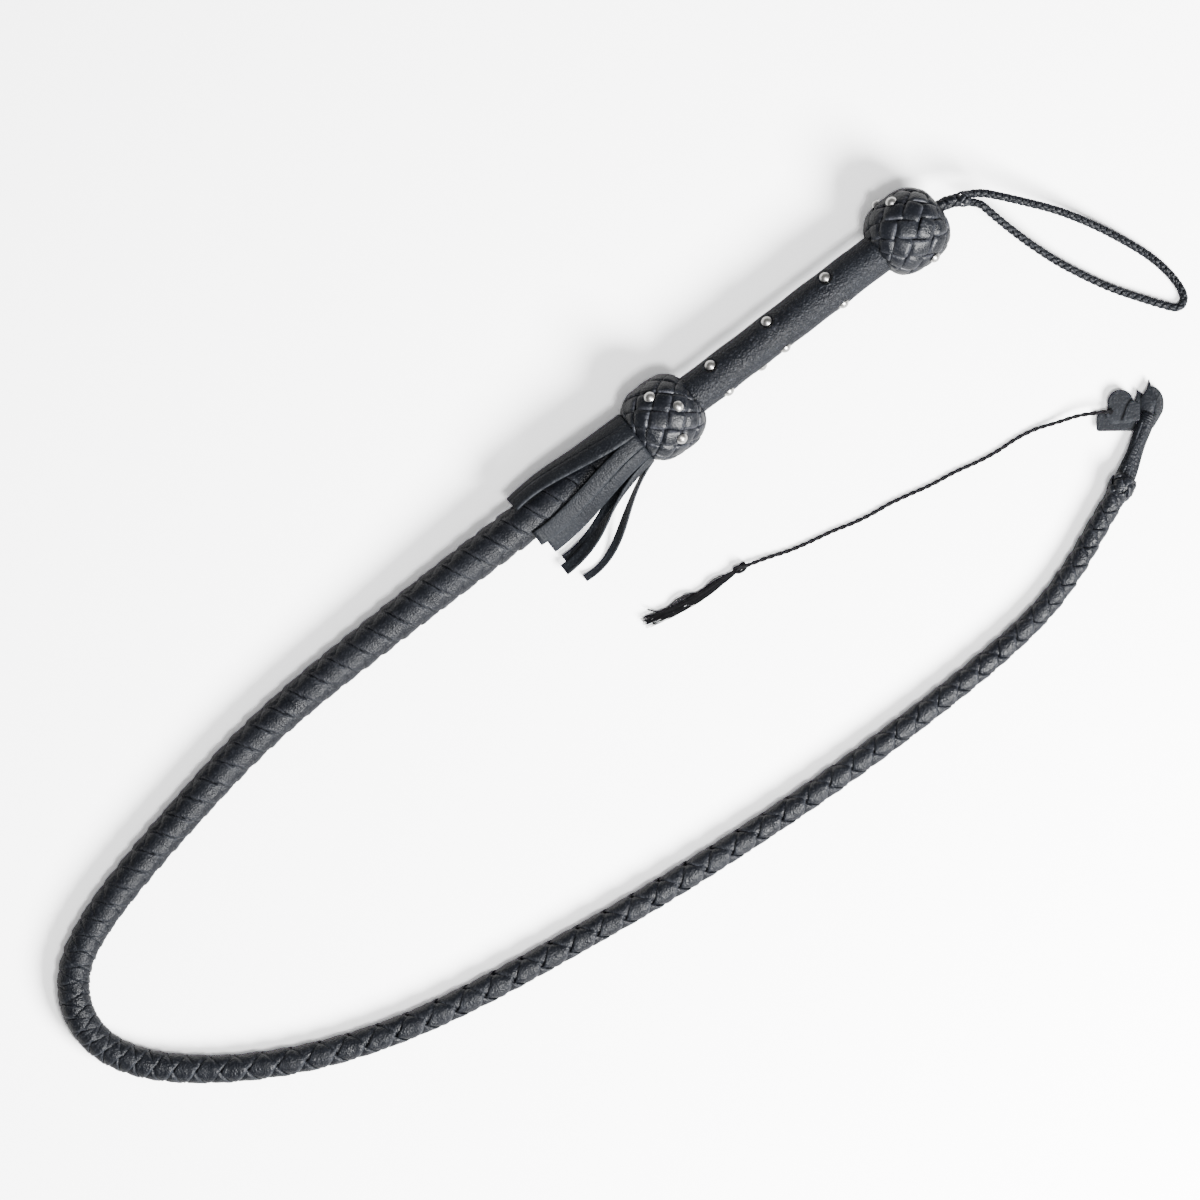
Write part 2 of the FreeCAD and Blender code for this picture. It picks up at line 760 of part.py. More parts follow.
def build_popper():
    hitch = popper_hitch()
    knot = popper_knot()
    node(free_form("popper_hitch", hitch), "popper_hitch")
    node(free_form("popper_string", popper_string(hitch, knot)), "popper_string")
    node(free_form("popper_knot", knot), "popper_knot")
    node(free_form("popper_tuft", popper_tuft(knot)), "popper_tuft")


def check_and_export():
    doc.recompute()
    for item in doc.Objects:
        if {"Invalid", "Error"} & set(item.State):
            raise RuntimeError(f"{item.Label} failed: {item.State}")
    for item in nodes:
        if item.Shape.isNull() or not item.Shape.isValid():
            raise RuntimeError(f"{item.Label} has no valid shape")
    os.makedirs("parts", exist_ok=True)
    for item in nodes:
        item.Shape.exportStep(f"parts/{item.Label}.step")


fill_sheet()
build_handle()
build_fringe()
last_stretch = build_thong()
build_wrist_loop()
build_point(last_stretch)
build_popper()
check_and_export()
for item in nodes:
    box = item.Shape.BoundBox
    print(f"{item.Label}: {len(item.Shape.Solids)} solids, {item.Shape.Volume:.0f} mm3,"
          f" x {box.XMin:.1f}..{box.XMax:.1f}, y {box.YMin:.1f}..{box.YMax:.1f}, z {box.ZMin:.1f}..{box.ZMax:.1f}")
swing_pivot, lift_pivot, neck_direction = loop_pivots()
print("loop swing pivot", swing_pivot, "loop lift pivot", lift_pivot, "neck", neck_direction)
for flex in thong_flexes(thong_points()):
    print("thong flex", flex[0], "along", flex[1])
print("hitch", from_knot(*HITCH_PLACE))
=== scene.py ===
"""Looks of the studded leather stock whip: plaited thong, woven knots, fringe, wrist loop and popper.

Metres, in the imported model's frame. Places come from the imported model; the cords' routes are given from the
point of the floor under the fringe knot's centre, as in the part's source.
"""
import json
import math

import bpy
import numpy as np
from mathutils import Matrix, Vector


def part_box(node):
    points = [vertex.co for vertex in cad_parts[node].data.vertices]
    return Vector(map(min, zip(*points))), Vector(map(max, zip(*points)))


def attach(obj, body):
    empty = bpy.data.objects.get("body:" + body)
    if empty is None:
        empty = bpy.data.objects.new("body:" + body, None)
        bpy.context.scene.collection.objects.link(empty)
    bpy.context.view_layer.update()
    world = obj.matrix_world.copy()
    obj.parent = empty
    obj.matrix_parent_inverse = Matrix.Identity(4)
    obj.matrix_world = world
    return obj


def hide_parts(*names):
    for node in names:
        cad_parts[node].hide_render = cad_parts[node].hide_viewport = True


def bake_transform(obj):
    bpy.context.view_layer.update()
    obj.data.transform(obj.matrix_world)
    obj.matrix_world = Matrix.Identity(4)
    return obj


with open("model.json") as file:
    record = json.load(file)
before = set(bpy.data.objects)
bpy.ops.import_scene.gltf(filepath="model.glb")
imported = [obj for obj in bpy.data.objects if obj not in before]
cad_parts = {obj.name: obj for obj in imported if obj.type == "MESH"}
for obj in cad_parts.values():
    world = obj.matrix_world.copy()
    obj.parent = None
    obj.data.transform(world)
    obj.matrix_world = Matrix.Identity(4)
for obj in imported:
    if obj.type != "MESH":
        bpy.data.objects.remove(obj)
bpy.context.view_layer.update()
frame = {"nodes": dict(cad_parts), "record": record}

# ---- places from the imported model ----


def centre_of(node):
    low, high = (Vector(corner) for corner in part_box(node))
    return (low + high) / 2


def joint_place(name):
    for joint in frame["record"]["behaviour"]["joints"]:
        if joint["name"] == name:
            return Vector(joint["pos_m"])
    raise KeyError(name)


FRINGE_CORE = centre_of("fringe_knot_core")
HEEL = Vector((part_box("handle_core")[1][0] - 0.004, FRINGE_CORE.y, FRINGE_CORE.z))
GRIP_RADIUS = (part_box("grip_cover")[1][2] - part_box("grip_cover")[0][2]) / 2
KNOT_RADIUS = (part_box("fringe_knot")[1][2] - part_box("fringe_knot")[0][2]) / 2
KNOT = Vector((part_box("grip_cover")[0][0], FRINGE_CORE.y, FRINGE_CORE.z))


def from_knot(x, y, z):
    """A place given from the point of the floor under the fringe knot."""
    return np.array([KNOT.x + x, KNOT.y + y, z])


# ---- the cords' routes ----

THONG_ROUTE = [
    (0, 0, 0.0250), (-0.050, 0, 0.0250), (-0.130, 0.001, 0.0208), (-0.214, 0.0005, 0.0144),
    (-0.273, -0.0005, 0.0125), (-0.322, -0.005, 0.0116), (-0.367, -0.013, 0.0112),
    (-0.412, -0.022, 0.0108), (-0.451, -0.032, 0.0103), (-0.480, -0.045, 0.0100),
    (-0.496, -0.066, 0.0098), (-0.498, -0.092, 0.0096), (-0.486, -0.116, 0.0094),
    (-0.464, -0.138, 0.0092), (-0.433, -0.160, 0.0093), (-0.392, -0.181, 0.0091),
    (-0.346, -0.197, 0.0089), (-0.296, -0.208, 0.0088), (-0.237, -0.217, 0.0087),
    (-0.178, -0.225, 0.0086), (-0.114, -0.231, 0.0085), (-0.051, -0.235, 0.0084),
    (0.012, -0.236, 0.0082), (0.067, -0.235, 0.0079), (0.111, -0.231, 0.0076),
    (0.144, -0.221, 0.0076), (0.171, -0.209, 0.0087), (0.1935, -0.200, 0.0101),
]
LOOP_ROUTE = [
    (0.0477, -0.0070, 0.0248), (0.0570, -0.0170, 0.0225), (0.0675, -0.0290, 0.0185),
    (0.0810, -0.0450, 0.0130), (0.0930, -0.0640, 0.0080), (0.1030, -0.0840, 0.0046),
    (0.1105, -0.1030, 0.0031), (0.1132, -0.1205, 0.0028), (0.1115, -0.1335, 0.0028),
    (0.1040, -0.1365, 0.0028), (0.0972, -0.1275, 0.0028), (0.0890, -0.1160, 0.0028),
    (0.0800, -0.1030, 0.0030), (0.0710, -0.0865, 0.0042), (0.0624, -0.0690, 0.0072),
    (0.0556, -0.0510, 0.0118), (0.0503, -0.0345, 0.0172), (0.0468, -0.0215, 0.0220),
    (0.0446, -0.0118, 0.0246),
]
STRING_ROUTE = [
    (0.2165, -0.1602, 0.0074), (0.2090, -0.1556, 0.0074), (0.1990, -0.1500, 0.0060),
    (0.1880, -0.1464, 0.0036), (0.1755, -0.1414, 0.0016), (0.1625, -0.1388, 0.0012),
    (0.1480, -0.1382, 0.0012), (0.1345, -0.1359, 0.0012), (0.1200, -0.1322, 0.0012),
    (0.1050, -0.1302, 0.0012), (0.0890, -0.1262, 0.0012), (0.0765, -0.1234, 0.0012),
    (0.0655, -0.1223, 0.0012), (0.0528, -0.1197, 0.0012), (0.0403, -0.1159, 0.0012),
    (0.0280, -0.1134, 0.0012), (0.0120, -0.1096, 0.0012), (-0.0015, -0.1044, 0.0018),
    (-0.0175, -0.0998, 0.0033),
]

# ---- sizes ----

# How the plait changes along the thong: distance from the knot's centre, then the value there.
THONG_DIAMETER = [
    (0.05, 0.0252), (0.13, 0.0246), (0.24, 0.0230), (0.33, 0.0218), (0.44, 0.0205), (0.495, 0.0195),
    (0.62, 0.0168), (0.74, 0.0163), (0.90, 0.0160), (1.06, 0.0151), (1.15, 0.0143), (1.22, 0.0138),
    (1.285, 0.0130),
]
THONG_PITCH = [
    (0.0, 0.0290), (0.30, 0.0300), (0.42, 0.0272), (0.465, 0.0215), (0.495, 0.0176), (0.54, 0.0176),
    (0.58, 0.0240), (0.63, 0.0345), (0.74, 0.0390), (0.95, 0.0372), (1.05, 0.0325), (1.15, 0.0305),
    (1.285, 0.0220),
]
THONG_STRAP_WIDTH = [(0.0, 0.0138), (0.66, 0.0138), (1.1, 0.0125), (1.285, 0.0105)]
THONG_STRAP_THICKNESS = [(0.0, 0.0010), (0.45, 0.0011), (0.62, 0.0010), (1.285, 0.0010)]
# Where the seam between two columns of straps lies, in degrees from the top towards the side.
THONG_SEAM = [
    (0.0, 60), (0.20, 52), (0.30, 46), (0.44, 42), (0.485, 26), (0.505, 6), (0.52, -18), (0.54, -34),
    (0.60, -40), (0.66, -36), (0.75, -22), (0.95, -22), (1.05, -42), (1.15, -32), (1.22, -60),
    (1.285, -75),
]
# How far a seam zigzags: 0 is a straight seam, 1 an open diamond pattern.
THONG_ZIGZAG = [(0.0, 0.45), (0.42, 0.50), (0.49, 0.90), (1.285, 0.90)]
# How much wider the columns of the one hand lie than the other's.
THONG_FAVOUR = [(0.0, 0.40), (0.43, 0.34), (0.49, 0.0), (1.285, 0.0)]
# How far along the thong each side of a flex reaches.
FLEX_REACH = 0.055
LOOP_DIAMETER = 0.005
# Diameter, pitch, strap width, strap thickness, seam in degrees, zigzag, favour.
LOOP_PLAIT = (LOOP_DIAMETER, 0.0086, 0.0030, 0.0005, 25, 0.9, 0.0)
NECK_PLAIT = (0.0080, 0.0138, 0.0048, 0.0006, 20, 0.8, 0.0)
STRING_DIAMETER = 0.0018
STRING_PITCH = 0.0104


# ---- meshes ----

def mesh_piece(name, vertices, faces, edge, lie):
    """A mesh object with the two things the leather follows at each vertex.

    edge runs from 0 to 1 where the skin is painted paler at its edges, partly as wear and partly as a painted
    edge highlight; lie gives places along and across a strap.
    """
    mesh = bpy.data.meshes.new(name)
    mesh.from_pydata([tuple(v) for v in vertices], [], faces)
    edge_wear_and_highlight = mesh.attributes.new("edge", "FLOAT", "POINT")
    edge_wear_and_highlight.data.foreach_set("value", np.asarray(edge, dtype=np.float32))
    laid = mesh.attributes.new("lie", "FLOAT_VECTOR", "POINT")
    laid.data.foreach_set("vector", np.asarray(lie, dtype=np.float32).reshape(-1))
    mesh.polygons.foreach_set("use_smooth", [True] * len(mesh.polygons))
    mesh.update()
    piece = bpy.data.objects.new(name, mesh)
    bpy.context.scene.collection.objects.link(piece)
    return piece


def ring_faces(rings, around, closed, offset=0):
    """Quads between neighbouring rings, with a cap at each end of an open run."""
    faces = []
    for ring in range(rings if closed else rings - 1):
        following = (ring + 1) % rings
        for side in range(around):
            beside = (side + 1) % around
            faces.append((
                offset + ring * around + side,
                offset + ring * around + beside,
                offset + following * around + beside,
                offset + following * around + side,
            ))
    if not closed:
        faces.append(tuple(offset + side for side in reversed(range(around))))
        last = offset + (rings - 1) * around
        faces.append(tuple(last + side for side in range(around)))
    return faces


class Parts:
    """Collects rings of vertices into one mesh."""

    def __init__(self):
        self.vertices = []
        self.faces = []
        self.edges = []
        self.lies = []
        self.count = 0

    def add(self, rings, edge=0.0, lie=None, closed=False):
        """rings has the shape (rings, around, 3), and lie the same; without it, creases lie any way."""
        number, around = rings.shape[:2]
        self.faces += ring_faces(number, around, closed, self.count)
        self.vertices.append(rings.reshape(-1, 3))
        self.edges.append(np.broadcast_to(edge, (number, around)).reshape(-1))
        self.lies.append((rings if lie is None else lie).reshape(-1, 3))
        self.count += number * around

    def piece(self, name):
        return mesh_piece(name, np.concatenate(self.vertices), self.faces,
                          np.concatenate(self.edges), np.concatenate(self.lies))


def unit(vectors):
    """The same directions at length 1."""
    return vectors / np.linalg.norm(vectors, axis=-1, keepdims=True)


# Places drawn between two of a route's.
ROUTE_STEPS = 20


class Path:
    """A smooth line through a route, measured along its length, with a level frame at each place."""

    def __init__(self, route):
        curve = bpy.data.curves.new("route", "CURVE")
        curve.dimensions = "3D"
        spline = curve.splines.new("NURBS")
        spline.points.add(len(route) - 1)
        for point, place in zip(spline.points, route):
            point.co = (*place, 1)
        spline.order_u = 3
        spline.use_endpoint_u = True
        spline.resolution_u = ROUTE_STEPS
        holder = bpy.data.objects.new("route", curve)
        bpy.context.scene.collection.objects.link(holder)
        bpy.context.view_layer.update()
        graph = bpy.context.evaluated_depsgraph_get()
        mesh = bpy.data.meshes.new_from_object(holder.evaluated_get(graph))
        self.points = np.array([vertex.co[:] for vertex in mesh.vertices])
        bpy.data.objects.remove(holder)
        bpy.data.meshes.remove(mesh)
        steps = np.linalg.norm(np.diff(self.points, axis=0), axis=1)
        self.distances = np.concatenate([[0.0], np.cumsum(steps)])
        self.length = self.distances[-1]
        self.along = unit(np.gradient(self.points, self.distances, axis=0))

    def at(self, distances):
        """Place, direction, side and up at each distance; past the ends the line runs straight on."""
        inside = np.clip(distances, 0, self.length)
        place = np.stack([np.interp(inside, self.distances, self.points[:, i]) for i in range(3)], -1)
        along = unit(np.stack([np.interp(inside, self.distances, self.along[:, i]) for i in range(3)], -1))
        place = place + along * (np.asarray(distances) - inside)[..., None]
        side = unit(np.cross(along, [0.0, 0.0, 1.0]))
        return place, along, side, np.cross(side, along)

    def stretch(self, first, last, step=0.004):
        """Places along part of the line."""
        count = max(3, int((last - first) / step))
        return self.at(np.linspace(first, last, count))[0]

    def nearest(self, place):
        gaps = np.linalg.norm(self.points - np.array(place), axis=1)
        return float(self.distances[int(np.argmin(gaps))])


def along_table(table):
    """A size that runs evenly between the stations of a table."""
    stations, values = zip(*table)
    return lambda distance: np.interp(distance, stations, values)


def steady(value):
    """A size that stays the same all along."""
    return lambda distance: np.full_like(np.asarray(distance, dtype=float), value)


# ---- plaiting ----

TURNOVER = 5.5          # how quickly a strap turns from over to under
FULL_COVER = 0.965      # the most of its room that a strap fills
CREASE_ACROSS = 0.22    # how slowly creases change across a strap
# Depths under the skin, in strap thicknesses.
UNDER = 1.1             # a plait's strap where it lies under another
SHINGLE = 0.40          # an edge of a strap, against its middle
WORN_EDGE = 0.45        # how far an edge is rounded down
CROWN = 0.04            # how far the face is crowned
SLOW_WANDER = 0.10
QUICK_WANDER = 0.07
CORE_DEPTH = 2.4
# The same for the straps of a woven knot.
KNOT_WORN_EDGE = 0.40
KNOT_LEAN = 0.30        # how far a strap tips to either side
KNOT_RISE = 0.12        # how far one stretch of it stands over another
KNOT_TURNOVER = 4.0
RIM_TURNOVER = 3.2      # the same near a knot's two rims
KNOT_FACE = 9           # vertices across a knot strap's face


def over_and_under(swing):
    """1 where a strap lies over, 0 where it lies under, with a quick turn between."""
    return 0.5 + 0.5 * np.tanh(TURNOVER * swing)


def strap_profile(across, under):
    """Shares across a strap's face and back again under it, with a mark for the face."""
    top = np.linspace(-1, 1, across)
    below = np.linspace(0.94, -0.94, under)
    share = np.concatenate([top, below])[None, :]
    face = np.concatenate([np.ones(across), np.zeros(under)])[None, :]
    return share, face


class Plait:
    """Sizes of a round plait of four straps; each is a value at a distance along it."""

    def __init__(self, diameter, pitch, width, thickness, seam, zigzag, favour):
        self.diameter = diameter
        self.pitch = pitch
        self.width = width
        self.thickness = thickness
        self.seam = seam
        self.zigzag = zigzag
        self.favour = favour

    def turns(self, distance, length):
        """How far a strap has wound round by each distance."""
        table = np.linspace(-0.05, length + 0.05, 6000)
        wound = np.cumsum(2 * math.pi / self.pitch(table)) * (table[1] - table[0])
        return np.interp(distance, table, wound) - np.interp(0.0, table, wound)

    def cover(self, distance):
        """Share of the room between two straps of the same hand that a strap fills."""
        pitch = self.pitch(distance)
        lean = np.arctan(math.pi * self.diameter(distance) / pitch)
        return np.minimum(FULL_COVER, self.width(distance) / (pitch / 2 * np.sin(lean)))


def round_plait(name, path, first, last, plait, step=0.0006, across=11):
    """Four flat straps plaited round a core: two wind each way and cross over and under.

    It is drawn between two distances, so that stretches of one plait meet exactly.
    """
    distance = np.linspace(first, last, max(24, int((last - first) / step)))
    place, _, side, up = path.at(distance)
    turn = plait.turns(distance, path.length)[:, None]
    favour = plait.favour(distance)[:, None]
    spin = np.radians(plait.seam(distance))[:, None] - np.arccos(-favour) / 2
    radius = (plait.diameter(distance) / 2)[:, None]
    thick = plait.thickness(distance)[:, None]
    zigzag = plait.zigzag(distance)[:, None]
    half_turn = (plait.cover(distance) * math.pi / 2)[:, None]
    share, face = strap_profile(across, 4)
    parts = Parts()
    for hand in (1, -1):
        for start in (0.0, math.pi):
            winding = start + share * half_turn + hand * turn
            swing = np.cos(2 * winding) + favour + zigzag * np.cos(2 * turn)
            lift = over_and_under(hand * swing)
            crown = WORN_EDGE * np.abs(share) ** 10 + CROWN * share ** 2
            shingle = SHINGLE * hand * share
            uneven = (SLOW_WANDER * np.sin(turn * 2.3 + start * 2 + hand)
                      + QUICK_WANDER * np.sin(turn * 5.1 + hand * 2))
            depth = UNDER * (1 - lift) + shingle + uneven + np.where(face > 0, crown, 1.0)
            angle = winding + spin
            rim = np.cos(angle)[..., None] * up[:, None, :] + np.sin(angle)[..., None] * side[:, None, :]
            rings = place[:, None, :] + rim * (radius - thick * depth)[..., None]
            reach = radius * turn + distance[:, None] * 0.3
            lie = laid_straight(np.broadcast_to(reach, winding.shape), share * radius * 1.4, start + hand)
            # The edge mask: the face's edges where the strap lies over, painted paler, partly as wear and
            # partly as a painted edge highlight.
            parts.add(rings, face * np.abs(share) ** 5 * lift, lie)
    core = place[:, None, :] + circle_round(up, side, 20) * (radius - CORE_DEPTH * thick)[..., None]
    parts.add(core)
    return parts.piece(name)


def laid_straight(along, across, shift):
    """The strap's own lie: creases run across it, so they change quickly along and slowly across."""
    across = np.broadcast_to(across, along.shape)
    return np.stack([along + shift, across * CREASE_ACROSS, np.full(along.shape, shift * 0.37)], -1)


def circle_round(up, side, around):
    """Directions all round a line, as rings to be scaled by a radius."""
    angles = np.linspace(0, 2 * math.pi, around, endpoint=False)
    return np.cos(angles)[None, :, None] * up[:, None, :] + np.sin(angles)[None, :, None] * side[:, None, :]


def knot_surface(directions, radius, squareness, stretch):
    """Distance to a rounded barrel's skin along each direction; the barrel's axis is X."""
    axial = np.abs(directions[..., 0]) / stretch
    across = np.linalg.norm(directions[..., 1:], axis=-1)
    return radius / (axial ** squareness + across ** squareness) ** (1 / squareness)


def woven_knot(parts, centre, axis, radius, leads, bights, low, high, width, thick,
               stretch=1.0, squareness=2.3, samples=1500, seed=3):
    """A Turk's head: one long strap round and round a ball, over and under itself.

    low and high are the latitudes of its two rims; axis is the way through it.
    """
    time = np.linspace(0, 2 * math.pi, samples, endpoint=False)
    wave = bights * time
    around = leads * time
    latitude = (low + high) / 2 + (high - low) / 2 * np.cos(wave)
    heading = np.stack([
        np.sin(latitude),
        np.cos(latitude) * np.cos(around),
        np.cos(latitude) * np.sin(around),
    ], -1)
    line = heading * knot_surface(heading, radius, squareness, stretch)[:, None]
    forward = unit(np.roll(line, -1, axis=0) - np.roll(line, 1, axis=0))
    sideways = unit(np.cross(heading, forward))
    over = np.tanh(KNOT_TURNOVER * np.cos(leads * wave)) * np.tanh(RIM_TURNOVER * np.sin(wave))
    lift = 0.5 + 0.5 * over[:, None]
    narrow = np.clip(np.cos(latitude) ** 0.55, 0.42, 1.0)
    share, face = strap_profile(KNOT_FACE, 3)
    reach = share * (width / 2) * narrow[:, None]
    wide = line[:, None, :] + sideways[:, None, :] * reach[..., None]
    wide_heading = unit(wide)
    skin = knot_surface(wide_heading, radius, squareness, stretch)
    stations = np.linspace(0, 2 * math.pi, leads * bights + 1)
    uneven = np.random.RandomState(seed)
    lean = np.interp(time, stations, uneven.uniform(-1, 1, len(stations)))[:, None]
    rise = np.interp(time, stations, uneven.uniform(-1, 1, len(stations)))[:, None]
    crown = KNOT_WORN_EDGE * np.abs(share) ** 9 + CROWN * share ** 2
    tipped = KNOT_LEAN * (1 + lean * share) + KNOT_RISE * (1 + rise)
    depth = 1 - lift + np.where(face > 0, crown, 1.0) + tipped
    rings = wide_heading * (skin - thick * depth)[..., None]
    # The edge mask: the face's edges where the strap lies over, painted paler, partly as wear and partly as a
    # painted edge highlight.
    edge = face * np.abs(share) ** 4 * lift
    steps = np.linalg.norm(np.roll(line, -1, axis=0) - line, axis=1)
    length = np.broadcast_to(np.cumsum(steps)[:, None], edge.shape)
    parts.add(to_axis(rings, axis) + np.array(centre), edge, laid_straight(length, reach, 0.5), closed=True)


def to_axis(points, axis):
    """Turns points drawn about +X so that +X points along a level axis."""
    x_axis = unit(np.array(axis, dtype=float))
    y_axis = unit(np.cross([0.0, 0.0, 1.0], x_axis))
    z_axis = np.cross(x_axis, y_axis)
    return points[..., :1] * x_axis + points[..., 1:2] * y_axis + points[..., 2:] * z_axis


# ---- round and flat lengths ----

def tube_rings(places, radii, around=8):
    """Rings of a round tube along places."""
    places = np.asarray(places, dtype=float)
    along = unit(np.gradient(places, axis=0))
    reference = np.tile([0.0, 0.0, 1.0], (len(places), 1))
    steep = np.abs(along[:, 2]) > 0.95
    reference[steep] = [0.0, 1.0, 0.0]
    if steep.any() and not steep.all():
        reference = carried_reference(along)
    side = unit(np.cross(along, reference))
    up = np.cross(side, along)
    reach = np.broadcast_to(radii, len(places))[:, None, None]
    return places[:, None, :] + circle_round(up, side, around) * reach


def carried_reference(along):
    """A reference carried along a line without twisting."""
    reference = [unit(np.cross(along[0], [0.3, 0.5, 0.8]))]
    for direction in along[1:]:
        last = reference[-1]
        reference.append(unit(last - direction * np.dot(last, direction)))
    return np.array(reference)


def strap_rings(places, outward, widths, thickness, corner=0.3, curl=0.0):
    """Rings of a flat strap with rounded corners; outward is the way its face looks."""
    places = np.asarray(places, dtype=float)
    along = unit(np.gradient(places, axis=0))
    face = unit(outward - along * np.sum(outward * along, axis=1, keepdims=True))
    side = np.cross(along, face)
    half = np.broadcast_to(widths, len(places))[:, None] / 2
    deep = np.broadcast_to(thickness, len(places))[:, None] / 2
    top = np.array([-1, -0.93, -0.6, -0.2, 0.2, 0.6, 0.93, 1])
    rise = np.array([1 - 2 * corner, 1, 1, 1, 1, 1, 1, 1 - 2 * corner])
    share = np.concatenate([top, top[::-1]])[None, :]
    height = np.concatenate([rise, -rise])[None, :]
    bow = curl * half * (share ** 2)
    rings = places[:, None, :] + side[:, None, :] * (half * share)[..., None]
    rings = rings + face[:, None, :] * (deep * height - bow)[..., None]
    # The edge mask: the face's edges, painted paler, partly as wear and partly as a painted edge highlight.
    edge = np.concatenate([np.abs(top) ** 6, np.zeros(len(top))])[None, :]
    steps = np.linalg.norm(np.diff(places, axis=0), axis=1)
    length = np.broadcast_to(np.concatenate([[0.0], np.cumsum(steps)])[:, None], rings.shape[:2])
    return rings, edge, laid_straight(length, half * share, places[0, 0] * 10)


def bezier(start, lead, follow, end, count):
    """Places along a curve that leaves start towards lead and comes into end from follow."""
    share = np.linspace(0, 1, count)[:, None]
    back = 1 - share
    return (back ** 3 * start + 3 * back ** 2 * share * lead
            + 3 * back * share ** 2 * follow + share ** 3 * end)


def turned_from_top(turn):
    """Direction across the handle; the turn is from the top towards +Y."""
    return np.array([0.0, math.sin(math.radians(turn)), math.cos(math.radians(turn))])


UPWARD = np.array([0.0, 0.0, 1.0])


def plan_heading(turn):
    """A level direction; the turn is from +X towards +Y."""
    return np.array([math.cos(math.radians(turn)), math.sin(math.radians(turn)), 0.0])


# ---- materials ----

def feed(tree, node, inputs):
    """Gives each named socket a constant, or a link from an output."""
    for name, value in inputs.items():
        if isinstance(value, bpy.types.NodeSocket):
            tree.links.new(value, node.inputs[name])
        else:
            node.inputs[name].default_value = value


def add_node(tree, kind, inputs=None, **values):
    made = tree.nodes.new(kind)
    for name, value in values.items():
        setattr(made, name, value)
    feed(tree, made, inputs or {})
    return made


def arithmetic(tree, operation, *values, clamp=False):
    made = add_node(tree, "ShaderNodeMath", dict(enumerate(values)), operation=operation, use_clamp=clamp)
    return made.outputs[0]


def speckle(tree, place, scale, **inputs):
    """A noise value at each place."""
    made = add_node(tree, "ShaderNodeTexNoise", {"Vector": place, "Scale": scale, **inputs})
    return made.outputs["Fac"]


def mixed(tree, share, first, second):
    """A colour between two others."""
    made = add_node(tree, "ShaderNodeMix", {"Factor": share, "A": first, "B": second}, data_type="RGBA")
    return made.outputs["Result"]


def bumped(tree, height, strength, distance, **inputs):
    made = add_node(tree, "ShaderNodeBump", {"Height": height, "Strength": strength, "Distance": distance,
                                             **inputs})
    return made.outputs["Normal"]


def spread(tree, value, low, high):
    """Stretches the part of a value between low and high to 0 to 1."""
    made = add_node(tree, "ShaderNodeMapRange", {"Value": value, "From Min": low, "From Max": high})
    return made.outputs["Result"]


def object_place(tree):
    return add_node(tree, "ShaderNodeTexCoord").outputs["Object"]


LEATHER_COLOURS = ("Dark", "Pale", "Worn And Highlight")
LEATHER_SIZES = ("Grain Scale", "Grain Depth", "Crease Scale", "Crease Depth", "Wear And Edge Highlight", "Painted Sparkle", "Rough")
LEATHER_RESULTS = (("Color", "NodeSocketColor"), ("Roughness", "NodeSocketFloat"),
                   ("Normal", "NodeSocketVector"))


def leather_group():
    """Leather's skin: pebbled grain, creases, paler edges that are partly wear and partly a painted edge
    highlight, painted highlight flecks and a patchy shine.
    """
    tree = bpy.data.node_groups.new("leather_skin", "ShaderNodeTree")
    for name in LEATHER_COLOURS:
        tree.interface.new_socket(name=name, in_out="INPUT", socket_type="NodeSocketColor")
    for name in LEATHER_SIZES:
        tree.interface.new_socket(name=name, in_out="INPUT", socket_type="NodeSocketFloat")
    for name, kind in LEATHER_RESULTS:
        tree.interface.new_socket(name=name, in_out="OUTPUT", socket_type=kind)
    given = add_node(tree, "NodeGroupInput").outputs
    place = object_place(tree)
    edge = add_node(tree, "ShaderNodeAttribute", attribute_name="edge").outputs["Fac"]
    lie = add_node(tree, "ShaderNodeAttribute", attribute_name="lie").outputs["Vector"]
    grain = add_node(tree, "ShaderNodeTexVoronoi", {
        "Vector": place, "Scale": given["Grain Scale"], "Smoothness": 0.6,
    }, feature="SMOOTH_F1").outputs["Distance"]
    fine = speckle(tree, place, 1400.0, Detail=4.0, Roughness=0.65)
    crease = speckle(tree, lie, given["Crease Scale"], Detail=5.0, Roughness=0.6, Distortion=1.2)
    patch = speckle(tree, place, 38.0, Detail=3.0)
    sparkle_noise = speckle(tree, place, 620.0, Detail=2.0, Roughness=0.7)

    broad = arithmetic(tree, "MULTIPLY", spread(tree, patch, 0.3, 0.7), 0.55)
    tone = arithmetic(tree, "MULTIPLY_ADD", spread(tree, fine, 0.3, 0.75), 0.45, broad)
    # Paler edges on the straps' faces, partly real wear and partly a painted edge highlight, broken up by the
    # creases.
    rub_and_edge_highlight = arithmetic(tree, "MULTIPLY", edge, given["Wear And Edge Highlight"])
    rub_and_edge_highlight = arithmetic(tree, "MULTIPLY", rub_and_edge_highlight, spread(tree, crease, 0.35, 0.62), clamp=True)
    # Painted highlight: small pale flecks in the colour that stand in for the grain's glints in the shine.
    painted_sparkle = arithmetic(tree, "MULTIPLY", spread(tree, sparkle_noise, 0.56, 0.70), given["Painted Sparkle"])
    colour = mixed(tree, tone, given["Dark"], given["Pale"])
    colour = mixed(tree, rub_and_edge_highlight, colour, given["Worn And Highlight"])
    colour = mixed(tree, painted_sparkle, colour, given["Worn And Highlight"])
    rough = arithmetic(tree, "MULTIPLY_ADD", spread(tree, patch, 0.3, 0.7), 0.14, given["Rough"], clamp=True)

    creased = bumped(tree, crease, given["Crease Depth"], 0.0016)
    pebbled = bumped(tree, grain, given["Grain Depth"], 0.0006, Normal=creased)
    pored = bumped(tree, fine, 0.5, 0.00025, Normal=pebbled)
    add_node(tree, "NodeGroupOutput", {"Color": colour, "Roughness": rough, "Normal": pored})
    return tree


def plain_material(name):
    material = bpy.data.materials.new(name)
    material.use_nodes = True
    tree = material.node_tree
    return material, tree, tree.nodes["Principled BSDF"]


